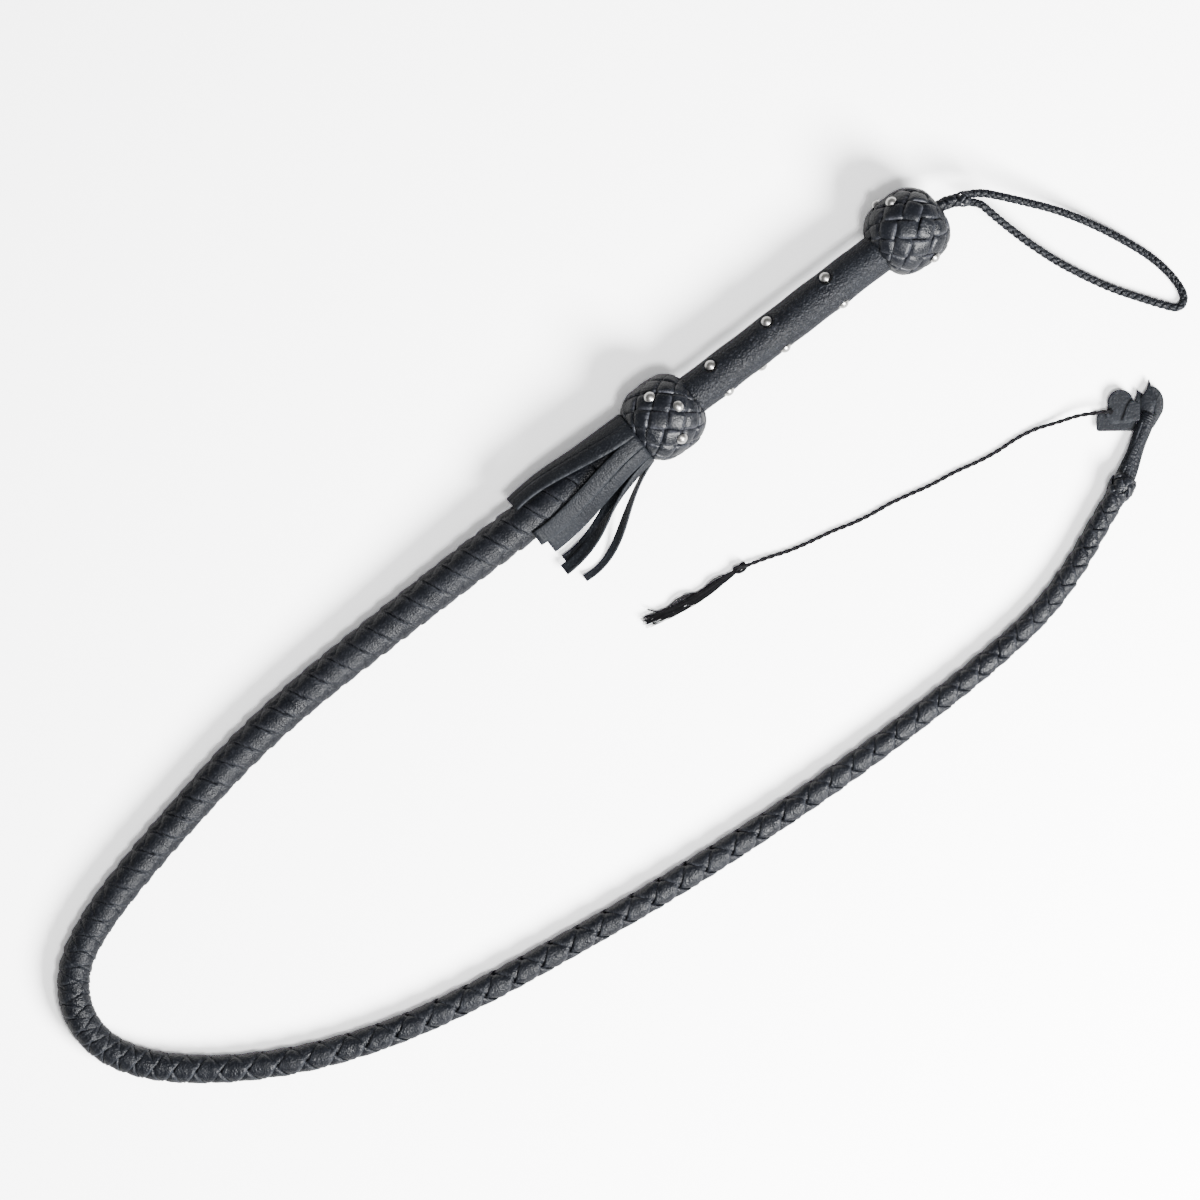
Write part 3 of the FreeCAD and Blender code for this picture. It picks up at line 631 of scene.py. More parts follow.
def leather(name, colours, sizes, gloss=0.30, coat=0.0):
    """colours and sizes follow LEATHER_COLOURS and LEATHER_SIZES."""
    material, tree, shader = plain_material(name)
    given = {socket: (*colour, 1) for socket, colour in zip(LEATHER_COLOURS, colours)}
    given.update(zip(LEATHER_SIZES, sizes))
    skin = add_node(tree, "ShaderNodeGroup", node_tree=SKIN)
    feed(tree, skin, given)
    feed(tree, shader, {
        "Base Color": skin.outputs["Color"], "Roughness": skin.outputs["Roughness"],
        "Normal": skin.outputs["Normal"], "Specular IOR Level": gloss,
        "Coat Weight": coat, "Coat Roughness": 0.3,
    })
    return material


def stud_metal():
    """Nickel-plated domes with faint scuffs."""
    material, tree, shader = plain_material("stud_nickel")
    scuff = speckle(tree, object_place(tree), 900.0, Detail=3.0)
    rough = add_node(tree, "ShaderNodeMapRange", {"Value": scuff, "To Min": 0.24, "To Max": 0.42})
    feed(tree, shader, {
        "Base Color": (0.90, 0.89, 0.86, 1), "Metallic": 1.0, "Roughness": rough.outputs["Result"],
        "Normal": bumped(tree, scuff, 0.25, 0.0002),
    })
    return material


def fibre(name, dark, pale, scale):
    """Twisted cord and loose fibres: matt, streaky black."""
    material, tree, shader = plain_material(name)
    streak = speckle(tree, object_place(tree), scale, Detail=5.0, Roughness=0.7)
    feed(tree, shader, {
        "Base Color": mixed(tree, spread(tree, streak, 0.3, 0.7), (*dark, 1), (*pale, 1)),
        "Normal": bumped(tree, streak, 0.6, 0.0001), "Roughness": 0.75, "Specular IOR Level": 0.2,
    })
    return material


def turned_wood():
    material, tree, shader = plain_material("turned_wood")
    rings = add_node(tree, "ShaderNodeTexWave", {
        "Vector": object_place(tree), "Scale": 160.0, "Distortion": 3.0, "Detail": 2.0,
    }, bands_direction="Y").outputs["Fac"]
    feed(tree, shader, {
        "Base Color": mixed(tree, rings, (0.36, 0.22, 0.11, 1), (0.5, 0.34, 0.19, 1)), "Roughness": 0.6,
    })
    return material


BLACK = (0.0056, 0.0068, 0.0100)
SKIN = leather_group()
# Each leather's sizes also set how strongly it is painted with highlight flecks and with paler edges, which are
# partly wear and partly painted highlight.
MATERIALS = {
    "grip_leather": leather(
        "grip_leather", (BLACK, (0.017, 0.020, 0.027), (0.085, 0.092, 0.110)),
        (900.0, 0.9, 300.0, 0.15, 0.3, 0.55, 0.36)),
    "knot_leather": leather(
        "knot_leather", (BLACK, (0.015, 0.0175, 0.024), (0.13, 0.135, 0.16)),
        (900.0, 0.35, 330.0, 0.32, 0.9, 0.15, 0.22), gloss=0.42, coat=0.15),
    "plait_leather": leather(
        "plait_leather", (BLACK, (0.0130, 0.0154, 0.0215), (0.10, 0.107, 0.125)),
        (950.0, 0.6, 380.0, 0.30, 0.8, 0.26, 0.27), gloss=0.42),
    "fringe_leather": leather(
        "fringe_leather", ((0.008, 0.0095, 0.0132), (0.020, 0.0235, 0.030), (0.08, 0.087, 0.10)),
        (950.0, 0.5, 160.0, 0.22, 0.6, 0.40, 0.44)),
    "inner_leather": leather(
        "inner_leather", (BLACK, (0.010, 0.009, 0.009), (0.03, 0.03, 0.03)),
        (900.0, 0.3, 120.0, 0.3, 0.1, 0.1, 0.55)),
    "popper_cord": fibre("popper_cord", (0.004, 0.004, 0.005), (0.018, 0.018, 0.021), 2200.0),
    "stud_metal": stud_metal(),
    "handle_wood": turned_wood(),
}


def finish_piece(piece, slot, body=None, replaces=()):
    """Gives a piece the material of its slot and its body, and hides the nodes that it stands for."""
    piece.data.materials.clear()
    piece.data.materials.append(MATERIALS[slot])
    if replaces:
        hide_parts(*replaces)
    if body:
        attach(piece, body)
    return piece


def finish_cad_nodes():
    """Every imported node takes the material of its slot."""
    slots = {part["node"]: part["material_slot"] for part in frame["record"]["subparts"]}
    for name, item in frame["nodes"].items():
        material = MATERIALS[slots[name]]
        if not item.material_slots:
            item.data.materials.append(material)
        for slot in item.material_slots:
            slot.material = material


# ---- the thong ----

def thong_plait():
    tables = (THONG_DIAMETER, THONG_PITCH, THONG_STRAP_WIDTH, THONG_STRAP_THICKNESS, THONG_SEAM,
              THONG_ZIGZAG, THONG_FAVOUR)
    return Plait(*(along_table(table) for table in tables))


def flex_points(path, joint, reach):
    """Places on either side of a flex, along the thong's own direction there."""
    place = np.array(joint_place(joint))
    along = path.at(np.array([path.nearest(place)]))[1][0]
    return place - along * reach, place + along * reach


# Past a flex's reach, before the next stretch of the thong starts.
STRETCH_MARGIN = 0.008
# The plait stops this far short of the end knot's middle.
END_GAP = 0.002


def build_thong():
    """The thong's plait in four stretches: one for each flex, and the rigid bend."""
    path = Path([from_knot(*point) for point in THONG_ROUTE])
    flexes = [path.nearest(joint_place(name)) for name in
              ("thong_flex_fringe", "thong_flex_bend", "thong_flex_return")]
    first_cut = (flexes[0] + flexes[1]) / 2
    second_cut = flexes[1] + FLEX_REACH + STRETCH_MARGIN
    third_cut = flexes[2] - FLEX_REACH - STRETCH_MARGIN
    stretches = [
        ("thong_by_fringe", 0.0, first_cut, "thong_flex_fringe", ("handle", "thong_front")),
        ("thong_before_bend", first_cut, second_cut, "thong_flex_bend", ("thong_front", "thong_bend")),
        ("thong_round_bend", second_cut, third_cut, None, ("thong_bend",)),
        ("thong_return", third_cut, path.length - END_GAP, "thong_flex_return",
         ("thong_bend", "thong_return")),
    ]
    plait = thong_plait()
    pieces = []
    for number, (name, first, last, joint, bodies) in enumerate(stretches, start=1):
        piece = round_plait(name, path, first, last, plait)
        finish_piece(piece, "plait_leather", replaces=(f"thong_plait_{number}", f"thong_core_{number}"))
        if joint:
            start, end = flex_points(path, joint, FLEX_REACH)
            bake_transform(piece)
        else:
            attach(piece, bodies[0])
        pieces.append((piece, first, last))
    return path, pieces, plait.diameter


def declare_thong(path, pieces, diameter):
    for piece, first, last in pieces:
        exit_place = path.at(np.array([first]))[0][0]
        float(diameter((first + last) / 2))
        path.stretch(first, last)


# ---- the handle ----

def islands(node):
    """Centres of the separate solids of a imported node; ones that nearly meet count once."""
    mesh = frame["nodes"][node].data
    parent = list(range(len(mesh.vertices)))

    def root(index):
        while parent[index] != index:
            parent[index] = parent[parent[index]]
            index = parent[index]
        return index

    for edge in mesh.edges:
        first, second = (root(index) for index in edge.vertices)
        parent[first] = second
    places = {}
    for vertex in mesh.vertices:
        key = tuple(round(value, 5) for value in vertex.co)
        places.setdefault(root(vertex.index), []).append(key)
    centres = [np.mean(points, axis=0) for points in places.values() if len(points) > 3]
    merged = []
    for centre in centres:
        if not any(np.linalg.norm(centre - other) < 0.006 for other in merged):
            merged.append(centre)
    return merged


GRIP_INSET = 0.012      # from each ball knot's middle to the wrap's edge
LAP_STEP = 0.0007
STUD_DENT = 0.00075
STUD_RIM = 0.00022


def build_grip():
    """Leather drawn round the dowel: near straight, dented round each stud, lapped underneath."""
    rows = 260
    around = 150
    x = np.linspace(KNOT.x + GRIP_INSET, HEEL.x - GRIP_INSET, rows)[:, None]
    angle = np.linspace(0, 2 * math.pi, around, endpoint=False)[None, :]
    radius = np.full((rows, around), GRIP_RADIUS)
    radius += 0.00012 * np.sin(x * 210 + 2.0 * np.sin(angle)) + 0.00008 * np.sin(x * 77 + angle * 2)
    lap = (angle - math.pi * 1.06 + 0.012 * np.sin(x * 90)) % (2 * math.pi)
    radius += LAP_STEP * np.exp(-lap * 3.0) * (1 - np.exp(-lap * 60))
    for stud in islands("grip_studs"):
        stud_angle = math.atan2(stud[1] - KNOT.y, stud[2] - KNOT.z)
        gap = (angle - stud_angle + math.pi) % (2 * math.pi) - math.pi
        far = np.sqrt((x - stud[0]) ** 2 + (gap * GRIP_RADIUS) ** 2)
        dent = STUD_DENT * np.exp(-(far / 0.0042) ** 4)
        rim = STUD_RIM * np.exp(-((far - 0.0052) / 0.0011) ** 2)
        radius += rim - dent
    rings = np.stack([
        np.broadcast_to(x, radius.shape),
        KNOT.y + radius * np.sin(angle),
        KNOT.z + radius * np.cos(angle),
    ], -1)
    parts = Parts()
    parts.add(rings)
    finish_piece(parts.piece("grip_wrap"), "grip_leather", "handle", ("grip_cover",))


# Each ball knot: node, centre, how far its leads reach on each side, strap width, stretch and seed.
BALL_KNOTS = [
    ("fringe_knot", KNOT, -1.02, 1.02, 0.0116, 0.98, 5),
    ("heel_knot", HEEL, -1.05, 1.32, 0.0120, 1.0, 9),
]


def build_ball_knots():
    for node, centre, low, high, width, stretch, seed in BALL_KNOTS:
        knot = Parts()
        woven_knot(knot, centre, (1, 0, 0), KNOT_RADIUS, 9, 10, low, high, width, 0.0018,
                   stretch=stretch, squareness=2.6, seed=seed)
        finish_piece(knot.piece(f"{node}_weave"), "knot_leather", "handle", (node,))


# Strips: turn of the root, tip x, y, z, turn of the tip, tip width, sideways bow, lift of the middle.
FRINGE = [
    (18, -0.1035, 0.0118, 0.0330, 38, 0.0088, -0.003, 0.0016),
    (48, -0.1040, 0.0168, 0.0250, 66, 0.0076, -0.002, 0.0010),
    (80, -0.1025, 0.0172, 0.0190, 98, 0.0060, 0.0, 0.0005),
    (110, -0.0970, 0.0150, 0.0125, 120, 0.0070, 0.0, 0.0),
    (140, -0.1000, 0.0078, 0.0080, 150, 0.0080, 0.0, 0.0),
    (170, -0.0990, 0.0, 0.0058, 180, 0.0080, 0.0, 0.0),
    (200, -0.1000, -0.0086, 0.0060, 205, 0.0070, 0.0, 0.0),
    (230, -0.0985, -0.0315, 0.0034, 190, 0.0062, 0.001, 0.002),
    (258, -0.0955, -0.0480, 0.0026, 192, 0.0044, 0.002, 0.0085),
    (288, -0.1025, -0.0366, 0.0054, 200, 0.0072, 0.000, 0.002),
    (320, -0.1000, -0.0204, 0.0200, 322, 0.0108, 0.000, 0.0015),
    (350, -0.1040, -0.0122, 0.0308, 333, 0.0106, 0.0020, 0.0012),
]
ROOT_WIDTH = 0.0092
ROOT_BACK = 0.020       # from the knot's middle to the strips' roots
ROOT_RADIUS = 0.0168
STRIP_THICKNESS = 0.0016


def build_fringe():
    """Soft straps cut from one band; the band is hidden under the knot's rim."""
    strips = Parts()
    for number, (turn, tip_x, tip_y, tip_z, tip_turn, tip_width, bow, lift) in enumerate(FRINGE):
        outward = turned_from_top(turn)
        start = np.array(KNOT) + np.array([-ROOT_BACK, 0, 0]) + outward * ROOT_RADIUS
        end = from_knot(tip_x, tip_y, tip_z)
        span = np.linalg.norm(end - start)
        lead = start + np.array([-span * 0.36, 0, 0]) + outward * (0.0006 + lift)
        follow = end + np.array([span * 0.34, -bow, 0.0]) + turned_from_top(tip_turn) * (lift + 0.0004)
        places = bezier(start, lead, follow, end, 40)
        share = np.linspace(0, 1, 40)[:, None]
        ease = share * share * (3 - 2 * share)
        faces = unit(outward * (1 - ease) + turned_from_top(tip_turn) * ease)
        ripple = 0.0003 * np.sin(share[:, 0] * 9 + number * 1.7)
        places = places + faces * ripple[:, None] * share
        uneven = 0.0004 * np.sin(share[:, 0] * 5 + number)
        widths = ROOT_WIDTH + (tip_width - ROOT_WIDTH) * ease[:, 0] + uneven
        strips.add(*strap_rings(places, faces, widths, STRIP_THICKNESS, curl=0.10))
    piece = strips.piece("fringe_strips")
    nodes = [f"fringe_strip_{number}" for number in range(1, len(FRINGE) + 1)]
    finish_piece(piece, "fringe_leather", "handle", nodes)


# ---- the wrist loop ----

def build_wrist_loop():
    """The loop, the short plaited neck that it hangs from, and the keeper where they meet."""
    swing = np.array(joint_place("loop_swing"))
    lift = np.array(joint_place("loop_lift"))
    along = unit(lift - swing)
    left = np.array([-along[1], along[0], 0.0])
    apart = LOOP_DIAMETER / 2 + 0.0002
    floor_point = np.array([HEEL.x, HEEL.y, 0.0])
    aside = left * apart * 0.75
    tucked = along * 0.0005
    route = [lift + aside - tucked]
    route += [floor_point + np.array(point) for point in LOOP_ROUTE]
    route.append(lift - aside - tucked)
    path = Path(route)
    loop_plait = Plait(*(steady(value) for value in LOOP_PLAIT))
    loop = round_plait("wrist_loop_plait", path, 0.0, path.length, loop_plait, 0.0003, 7)
    finish_piece(loop, "plait_leather", "loop", ("wrist_loop",))

    start = swing - np.array([0.010, 0, 0])
    neck_path = Path([start, swing - np.array([0.004, 0, 0]), swing + along * 0.003, lift - along * 0.0028])
    neck_plait = Plait(*(steady(value) for value in NECK_PLAIT))
    neck = round_plait("loop_neck_plait", neck_path, 0.0, neck_path.length, neck_plait, 0.0003, 9)
    finish_piece(neck, "plait_leather", replaces=("loop_neck",))
    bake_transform(neck)
    keeper = Parts()
    woven_knot(keeper, lift, along, 0.0052, 3, 4, -0.80, 0.80, 0.0040, 0.0006, samples=420, seed=2)
    finish_piece(keeper.piece("loop_keeper"), "knot_leather", "neck")


# ---- the thong's point ----

def end_of_thong(path):
    """The last place of a path, and the level direction that it ends in."""
    place, along = (item[0] for item in path.at(np.array([path.length]))[:2])
    level = unit(np.array([along[0], along[1], 0.0]))
    return place, level


# The splayed ends of the neck's straps: four places along each, its width, and how long its point is.
STRAND_TIPS = [
    ([(0.2312, -0.1745, 0.0050), (0.2375, -0.1700, 0.0072), (0.2425, -0.1655, 0.0066),
      (0.2467, -0.1591, 0.0030)], 0.0092, 0.55),
    ([(0.2320, -0.1735, 0.0040), (0.2345, -0.1700, 0.0052), (0.2362, -0.1650, 0.0046),
      (0.2372, -0.1598, 0.0030)], 0.0078, 0.30),
    ([(0.2330, -0.1755, 0.0036), (0.2395, -0.1715, 0.0040), (0.2420, -0.1670, 0.0034),
      (0.2440, -0.1615, 0.0022)], 0.0070, 0.40),
    ([(0.2440, -0.1640, 0.0044), (0.2478, -0.1705, 0.0050), (0.2400, -0.1790, 0.0040),
      (0.2312, -0.1836, 0.0024)], 0.0062, 0.35),
]
STRAND_TURN = 31.0
STRAND_LENGTH = 0.048
STRAND_WIDTH = (0.0054, 0.0040)         # at the knot, at the binding
STRAND_SPACING = (0.0032, 0.0021)
STRAND_THICKNESS = 0.0042
BINDING_RADIUS = 0.0045
BINDING_WRAPS = 5.5


def build_point(path):
    """The end knot and all that follows it: strands, their binding and tips, and the tab."""
    end, level = end_of_thong(path)
    knot = Parts()
    woven_knot(knot, end, level, 0.0089, 4, 5, -1.05, 1.05, 0.0056, 0.0013, stretch=0.98, squareness=2.8,
               samples=700, seed=4)
    knot.add(tube_rings(np.linspace(end - level * 0.0072, end + level * 0.0072, 5), 0.0066, 20))
    end_knot = finish_piece(knot.piece("end_knot_weave"), "knot_leather", "thong_return", ("end_knot",))

    along = plan_heading(STRAND_TURN)
    side = np.array([-along[1], along[0], 0.0])
    finish = end + along * STRAND_LENGTH
    finish[2] = BINDING_RADIUS + 0.0003
    strands = Parts()
    share = np.linspace(0, 1, 36)
    for number in (-1, 0, 1):
        apart = STRAND_SPACING[0] * (1 - share) + STRAND_SPACING[1] * share
        line = end + (finish - end) * share[:, None]
        wander = 0.0006 * np.sin(share * math.pi * 2 + number * 2.1) * np.sin(share * math.pi)
        line = line + side * (number * apart + wander)[:, None]
        line[:, 2] += (0.0010 if number == 0 else 0.0) * (1 - 0.5 * share)
        widths = STRAND_WIDTH[0] * (1 - share) + STRAND_WIDTH[1] * share
        tilt = 0.7 * number + 0.2 * np.sin(share * 9 + number)
        faces = UPWARD + side * tilt[:, None]
        strands.add(*strap_rings(line, faces, widths, STRAND_THICKNESS, corner=0.30, curl=0.16))
    neck = finish_piece(strands.piece("neck_strand_straps"), "plait_leather", "thong_return",
                        ("neck_strands",))
    return [end_knot, neck] + build_binding(finish, along, side) + [build_tab()]


def build_binding(finish, along, side):
    """A whipping of thin lace round the strands, and the strands' pointed ends past it."""
    turn = np.linspace(0, BINDING_WRAPS * 2 * math.pi, 200)
    reach = np.linspace(-0.0082, -0.0006, 200)
    middle = finish + along * reach[:, None]
    coil = middle + side * (np.sin(turn) * 0.0040)[:, None] + UPWARD * (np.cos(turn) * 0.0030)[:, None]
    binding = Parts()
    binding.add(tube_rings(coil, 0.00078, 8))
    binding.add(tube_rings(finish + along * np.linspace(-0.0085, 0.0, 6)[:, None], 0.0027, 14))
    wound = finish_piece(binding.piece("binding_lace"), "plait_leather", "thong_return", ("strand_binding",))

    points = Parts()
    for places, width, tip_share in STRAND_TIPS:
        corners = np.array([from_knot(*place) for place in places])
        leaf = bezier(*corners, 26)
        share = np.linspace(0, 1, 26)
        swell = np.sin(math.pi * np.clip(0.22 + 0.62 * share, 0, 1))
        taper = np.clip((1 - share) / tip_share, 0.03, 1)
        faces = UPWARD + 0.35 * plan_heading(150) * np.cos(share * 3)[:, None]
        points.add(*strap_rings(leaf, faces, width * swell * taper, 0.0014, corner=0.3, curl=0.16))
    ends = finish_piece(points.piece("strand_tips"), "fringe_leather", "thong_return", ("strand_points",))
    return [wound, ends]


def rounded_outline(corners, radius, steps=5):
    """A closed outline with its corners rounded off."""
    outline = []
    for index, corner in enumerate(corners):
        before = corners[index - 1]
        after = corners[(index + 1) % len(corners)]
        corner = np.array(corner, dtype=float)
        inward = np.array(before) - corner
        outward = np.array(after) - corner
        reach = min(radius, np.linalg.norm(inward) * 0.45, np.linalg.norm(outward) * 0.45)
        first = corner + unit(inward) * reach
        last = corner + unit(outward) * reach
        for share in np.linspace(0, 1, steps):
            outline.append((1 - share) ** 2 * first + 2 * share * (1 - share) * corner + share ** 2 * last)
    return np.array(outline)


def leather_plate(parts, outline, height, thickness, dome):
    """A flat cut piece with softened edges; the outline is in plan, height is its underside's."""
    middle = outline.mean(axis=0)
    layers = []
    profile = [(0.90, 0.0), (0.985, 0.12), (1.0, 0.4), (1.0, 0.65), (0.975, 0.92), (0.90, 1.0),
               (0.6, 1.0), (0.3, 1.0)]
    for inset, level in profile:
        ring = middle + (outline - middle) * inset
        rise = height + thickness * level
        bend = dome * np.sin((ring - middle)[:, 0] * 170 + 0.6)
        layers.append(np.column_stack([ring, np.full(len(ring), rise) + bend]))
    rings = np.array(layers)
    # The edge mask: the cut edges, painted paler, partly as wear and partly as a painted edge highlight.
    edge = np.array([0, 0.4, 1, 1, 0.8, 0.2, 0, 0])[:, None]
    parts.add(rings, edge)


# The tab's middle from the fringe knot, and how far it is turned.
TAB_PLACE = (0.2151, -0.1674, 0)
TAB_TURN = -37.4


def build_tab():
    """The popper's tab: a square tail and a round tongue of thin leather, one over the other."""
    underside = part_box("popper_tab")[0][2]
    right = plan_heading(TAB_TURN)[:2]
    upward = np.array([-right[1], right[0]])
    origin = from_knot(*TAB_PLACE)[:2]
    tail = [(-0.0117, -0.0054), (0.0117, -0.0050), (0.0130, 0.0050), (-0.0112, 0.0054)]
    angles = np.linspace(-0.35, math.pi + 0.25, 20)
    tongue = [(0.0027 + 0.0078 * math.cos(a), 0.0120 + 0.0078 * math.sin(a)) for a in angles]
    tongue += [(-0.0062, 0.0030), (-0.0030, -0.0010), (0.0085, -0.0006), (0.0138, 0.0040)]
    shoulder = [(0.0062, 0.0092), (0.0090, 0.0140), (0.0146, 0.0112), (0.0142, 0.0010), (0.0030, 0.0006),
                (0.0050, 0.0052)]
    # Outline, height over the underside, thickness.
    leaves = [
        (rounded_outline(tail, 0.0022), -0.0004, 0.0012),
        (rounded_outline(tongue, 0.0012, 3), 0.0009, 0.0013),
        (rounded_outline(shoulder, 0.0014, 4), 0.0021, 0.0013),
    ]
    parts = Parts()
    for outline, height, thickness in leaves:
        plan = origin + outline[:, :1] * right + outline[:, 1:] * upward
        leather_plate(parts, plan, underside + height, thickness, 0.00022)
    return finish_piece(parts.piece("popper_tab_leather"), "fringe_leather", "thong_return", ("popper_tab",))


# ---- the popper ----

PLIES = 2
PLY_FULLNESS = 1.9      # a ply's radius, in quarters of the cord's diameter
SAMPLES_A_TURN = 14


def twisted_cord(parts, path, diameter, pitch):
    """Plies laid round each other along a whole path."""
    distance = np.linspace(0.0, path.length, int(path.length / pitch * SAMPLES_A_TURN))
    place, _, side, up = path.at(distance)
    offset = diameter / 4
    for number in range(PLIES):
        angle = distance / pitch * 2 * math.pi + number * 2 * math.pi / PLIES
        line = place + (side * np.cos(angle)[:, None] + up * np.sin(angle)[:, None]) * offset
        parts.add(tube_rings(line, offset * PLY_FULLNESS, 8))


def build_hitch():
    """The turns that tie the popper's cord to the tab."""
    centre = centre_of("popper_hitch")
    low, high = (corner[2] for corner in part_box("popper_hitch"))
    turns = np.array([centre.x, centre.y, high - 0.0008])
    shank_top = np.array([centre.x, centre.y, high - 0.001])
    shank_low = np.array([centre.x, centre.y, low + 0.0002])
    hitch = Parts()
    woven_knot(hitch, turns, (1, 0, 0), 0.0021, 3, 4, -0.95, 0.95, 0.0016, 0.0005, samples=300, seed=6)
    radii = [0.0016, 0.0018, 0.0009, 0.0009, 0.0009, 0.0012]
    hitch.add(tube_rings(np.linspace(shank_low, shank_top, len(radii)), radii, 12))
    finish_piece(hitch.piece("popper_hitch_turns"), "popper_cord", "popper", ("popper_hitch",))


def build_cord_knot(centre, along):
    """An overhand knot in the cord."""
    time = np.linspace(0, 2 * math.pi, 160, endpoint=False)
    swell = 0.00135 + 0.0009 * np.cos(3 * time)
    trefoil = np.stack([0.00345 * np.sin(3 * time), swell * np.cos(2 * time), swell * np.sin(2 * time)], -1)
    knot = Parts()
    knot.add(closed_tube(to_axis(trefoil, along) + centre, 0.00088, 8), closed=True)
    return finish_piece(knot.piece("popper_knot_turns"), "popper_cord", "popper", ("popper_knot",))


def build_popper():
    path = Path([from_knot(*point) for point in STRING_ROUTE])
    cord = Parts()
    twisted_cord(cord, path, STRING_DIAMETER, STRING_PITCH)
    cord_piece = finish_piece(cord.piece("popper_twist"), "popper_cord", "popper", ("popper_string",))
    build_hitch()
    centre = np.array(centre_of("popper_knot"))
    along = unit(np.array(centre_of("popper_tuft")) - centre)
    along[2] = 0
    along = unit(along)
    knot_piece = build_cord_knot(centre, along)
    build_tuft(centre, along)


def closed_tube(places, radius, around):
    """Rings round a line that meets its own start."""
    along = unit(np.roll(places, -1, axis=0) - np.roll(places, 1, axis=0))
    reference = carried_reference(along)
    side = unit(np.cross(along, reference))
    up = np.cross(side, along)
    return places[:, None, :] + circle_round(up, side, around) * radius


# Loose loops on the combed-out end: where each leaves it and comes back, and how far out it stands.
TUFT_LOOPS = [
    (0.10, 0.36, 0.0026), (0.14, 0.33, 0.0016), (0.40, 0.74, 0.0042), (0.42, 0.71, 0.0033),
    (0.45, 0.66, 0.0026), (0.70, 0.86, 0.0010),
]
TUFT_LENGTH = 0.0645
TUFT_FIBRES = 96
LONG_FIBRES = 70        # the first ones, that reach the tip or nearly
FIBRE_RADIUS = 0.00026
LOOSE_FIBRE_RADIUS = 0.00042


def tuft_sway(share):
    """How far the combed-out end bows to its side."""
    return 0.0028 * np.sin(share * math.pi)


def build_tuft(centre, along):
    """The cord's combed-out end: many fine fibres that spread towards the tip, and a few loops."""
    rng = np.random.RandomState(21)
    side = np.array([-along[1], along[0], 0.0])
    tuft = Parts()
    start = centre + along * 0.003
    count = 22
    share = np.linspace(0, 1, count)
    for number in range(TUFT_FIBRES):
        length = TUFT_LENGTH * (rng.uniform(0.93, 1.0) if number < LONG_FIBRES else rng.uniform(0.5, 0.95))
        reach = share * length / TUFT_LENGTH
        wander = np.cumsum(rng.normal(0, 0.00012, count))
        fan = np.clip(rng.normal(0, 1.0), -1.7, 1.7) * (0.0006 + 0.0013 * share ** 0.8)
        line = start + along * (reach * TUFT_LENGTH)[:, None]
        line += side * (tuft_sway(reach) + fan + wander)[:, None]
        line[:, 2] = start[2] + (0.0024 - start[2]) * share + rng.uniform(-0.0012, 0.0014)
        line[:, 2] = np.clip(line[:, 2], 0.0006, 0.0056)
        tuft.add(tube_rings(line, np.linspace(FIBRE_RADIUS, FIBRE_RADIUS / 2, count), 4))
    for first, last, height in TUFT_LOOPS:
        reach = first + (last - first) * share
        out = 0.0012 + height * np.sin(share * math.pi) ** 0.7
        line = start + along * (reach * TUFT_LENGTH)[:, None] + side * (tuft_sway(reach) - out)[:, None]
        line[:, 2] = 0.0024 + 0.0012 * np.sin(share * math.pi)
        tuft.add(tube_rings(line, np.full(count, LOOSE_FIBRE_RADIUS), 5))
    stray = start + along * ((0.80 + 0.10 * share) * TUFT_LENGTH)[:, None]
    stray -= side * (0.0058 * share)[:, None]
    stray[:, 2] = 0.0030
    tuft.add(tube_rings(stray, np.full(count, LOOSE_FIBRE_RADIUS), 5))
    return finish_piece(tuft.piece("popper_fibres"), "popper_cord", "popper", ("popper_tuft",))


# ---- stage ----

# What the camera sees: its middle from the fringe knot, its width, and how far it is turned.
VIEW_CENTRE = (-0.0963, -0.0638)
VIEW_WIDTH = 0.720
VIEW_TURN = -37.4
CAMERA_HEIGHT = 2.6
OBJECT_HEIGHT = 0.012   # where VIEW_WIDTH is measured
SENSOR_WIDTH = 36.0
FLOOR_TONE = (0.80, 0.80, 0.80, 1)
FLOOR_SEEN = (4.3, 4.3, 4.3, 1)
FLOOR_REACH = 6.0
FLOOR_HEIGHT = -0.0002
SKY_STRENGTH = 0.12
# Each light: the way it stands from the middle of the view, how far off, how high, its size and power.
LIGHTS = [
    ("key", (0.72, -0.60), 1.7, 1.35, 0.95, 108),
    ("overhead", (0.3, -0.25), 0.6, 2.2, 1.8, 5),
    ("high", (0.62, -0.78), 0.5, 2.0, 0.32, 13),
]


def look_at(item, place, target):
    item.location = place
    item.rotation_euler = (Vector(target) - Vector(place)).to_track_quat("-Z", "Y").to_euler()


def build_camera():
    data = bpy.data.cameras.new("camera")
    camera = bpy.data.objects.new("camera", data)
    bpy.context.scene.collection.objects.link(camera)
    centre = from_knot(*VIEW_CENTRE, 0.0)
    camera.location = (centre[0], centre[1], CAMERA_HEIGHT)
    camera.rotation_euler = (0, 0, math.radians(VIEW_TURN))
    data.sensor_width = SENSOR_WIDTH
    data.lens = SENSOR_WIDTH * (CAMERA_HEIGHT - OBJECT_HEIGHT) / VIEW_WIDTH
    data.clip_end = 20.0
    bpy.context.scene.camera = camera
    return Vector(centre)


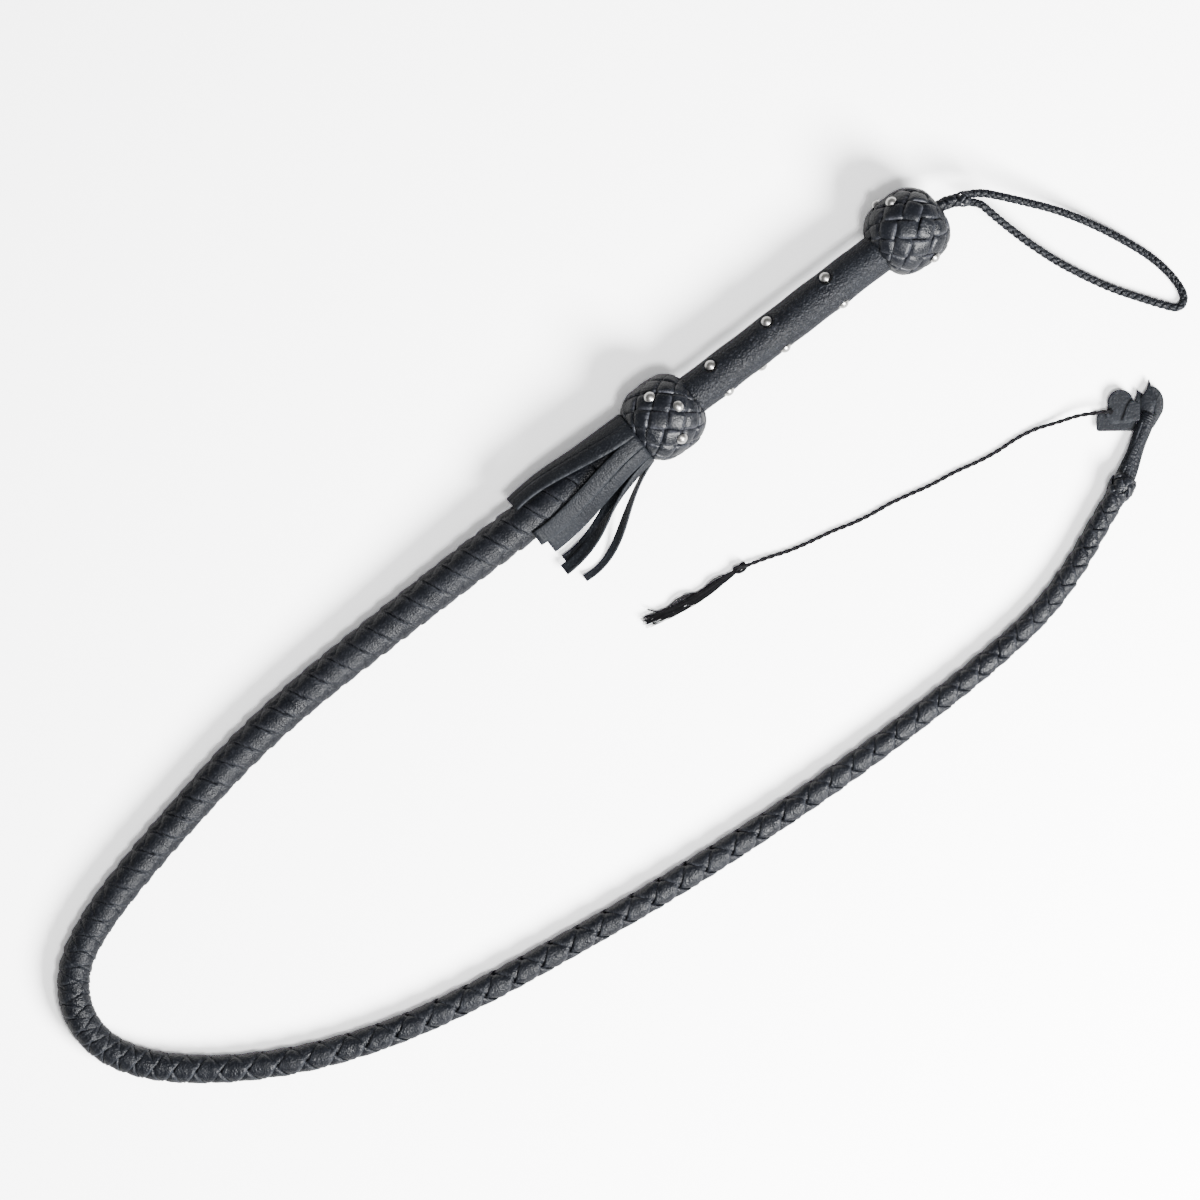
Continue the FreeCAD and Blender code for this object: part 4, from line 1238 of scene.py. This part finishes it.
def area_light(name, place, target, size, power):
    data = bpy.data.lights.new(name, "AREA")
    data.shape = "DISK"
    data.size = size
    data.energy = power
    light = bpy.data.objects.new(name, data)
    bpy.context.scene.collection.objects.link(light)
    look_at(light, place, target)


def view_direction(right, upward):
    """A level direction given as right and up in the camera's view."""
    turn = math.radians(VIEW_TURN)
    return Vector((math.cos(turn) * right - math.sin(turn) * upward,
                   math.sin(turn) * right + math.cos(turn) * upward, 0))


def floor_material():
    """A pale floor, exposed brighter to the eye than the light that it gives back to the object."""
    material, tree, shader = plain_material("pale_floor")
    seen = add_node(tree, "ShaderNodeLightPath").outputs["Is Camera Ray"]
    diffuse = add_node(tree, "ShaderNodeBsdfDiffuse", {"Color": mixed(tree, seen, FLOOR_TONE, FLOOR_SEEN)})
    feed(tree, tree.nodes["Material Output"], {"Surface": diffuse.outputs["BSDF"]})
    tree.nodes.remove(shader)
    return material


def build_stage():
    centre = build_camera()
    mesh = bpy.data.meshes.new("floor")
    corners = [(-1, -1), (1, -1), (1, 1), (-1, 1)]
    mesh.from_pydata([(x * FLOOR_REACH, y * FLOOR_REACH, 0) for x, y in corners], [], [(0, 1, 2, 3)])
    floor = bpy.data.objects.new("floor", mesh)
    floor.location = (0, 0, FLOOR_HEIGHT)
    bpy.context.scene.collection.objects.link(floor)
    floor.data.materials.append(floor_material())
    for name, way, away, height, size, power in LIGHTS:
        place = centre + view_direction(*way) * away + Vector((0, 0, height))
        area_light(name, place, centre, size, power)
    world = bpy.data.worlds.new("studio")
    world.use_nodes = True
    sky = world.node_tree.nodes["Background"].inputs
    sky["Color"].default_value = (1, 1, 1, 1)
    sky["Strength"].default_value = SKY_STRENGTH
    bpy.context.scene.world = world


# ---- assembly ----

finish_cad_nodes()
build_stage()
thong_path, thong_pieces, thong_diameter = build_thong()
point_pieces = build_point(thong_path)
declare_thong(thong_path, thong_pieces, thong_diameter)
build_wrist_loop()
build_popper()
build_grip()
build_ball_knots()
build_fringe()

bpy.context.view_layer.update()
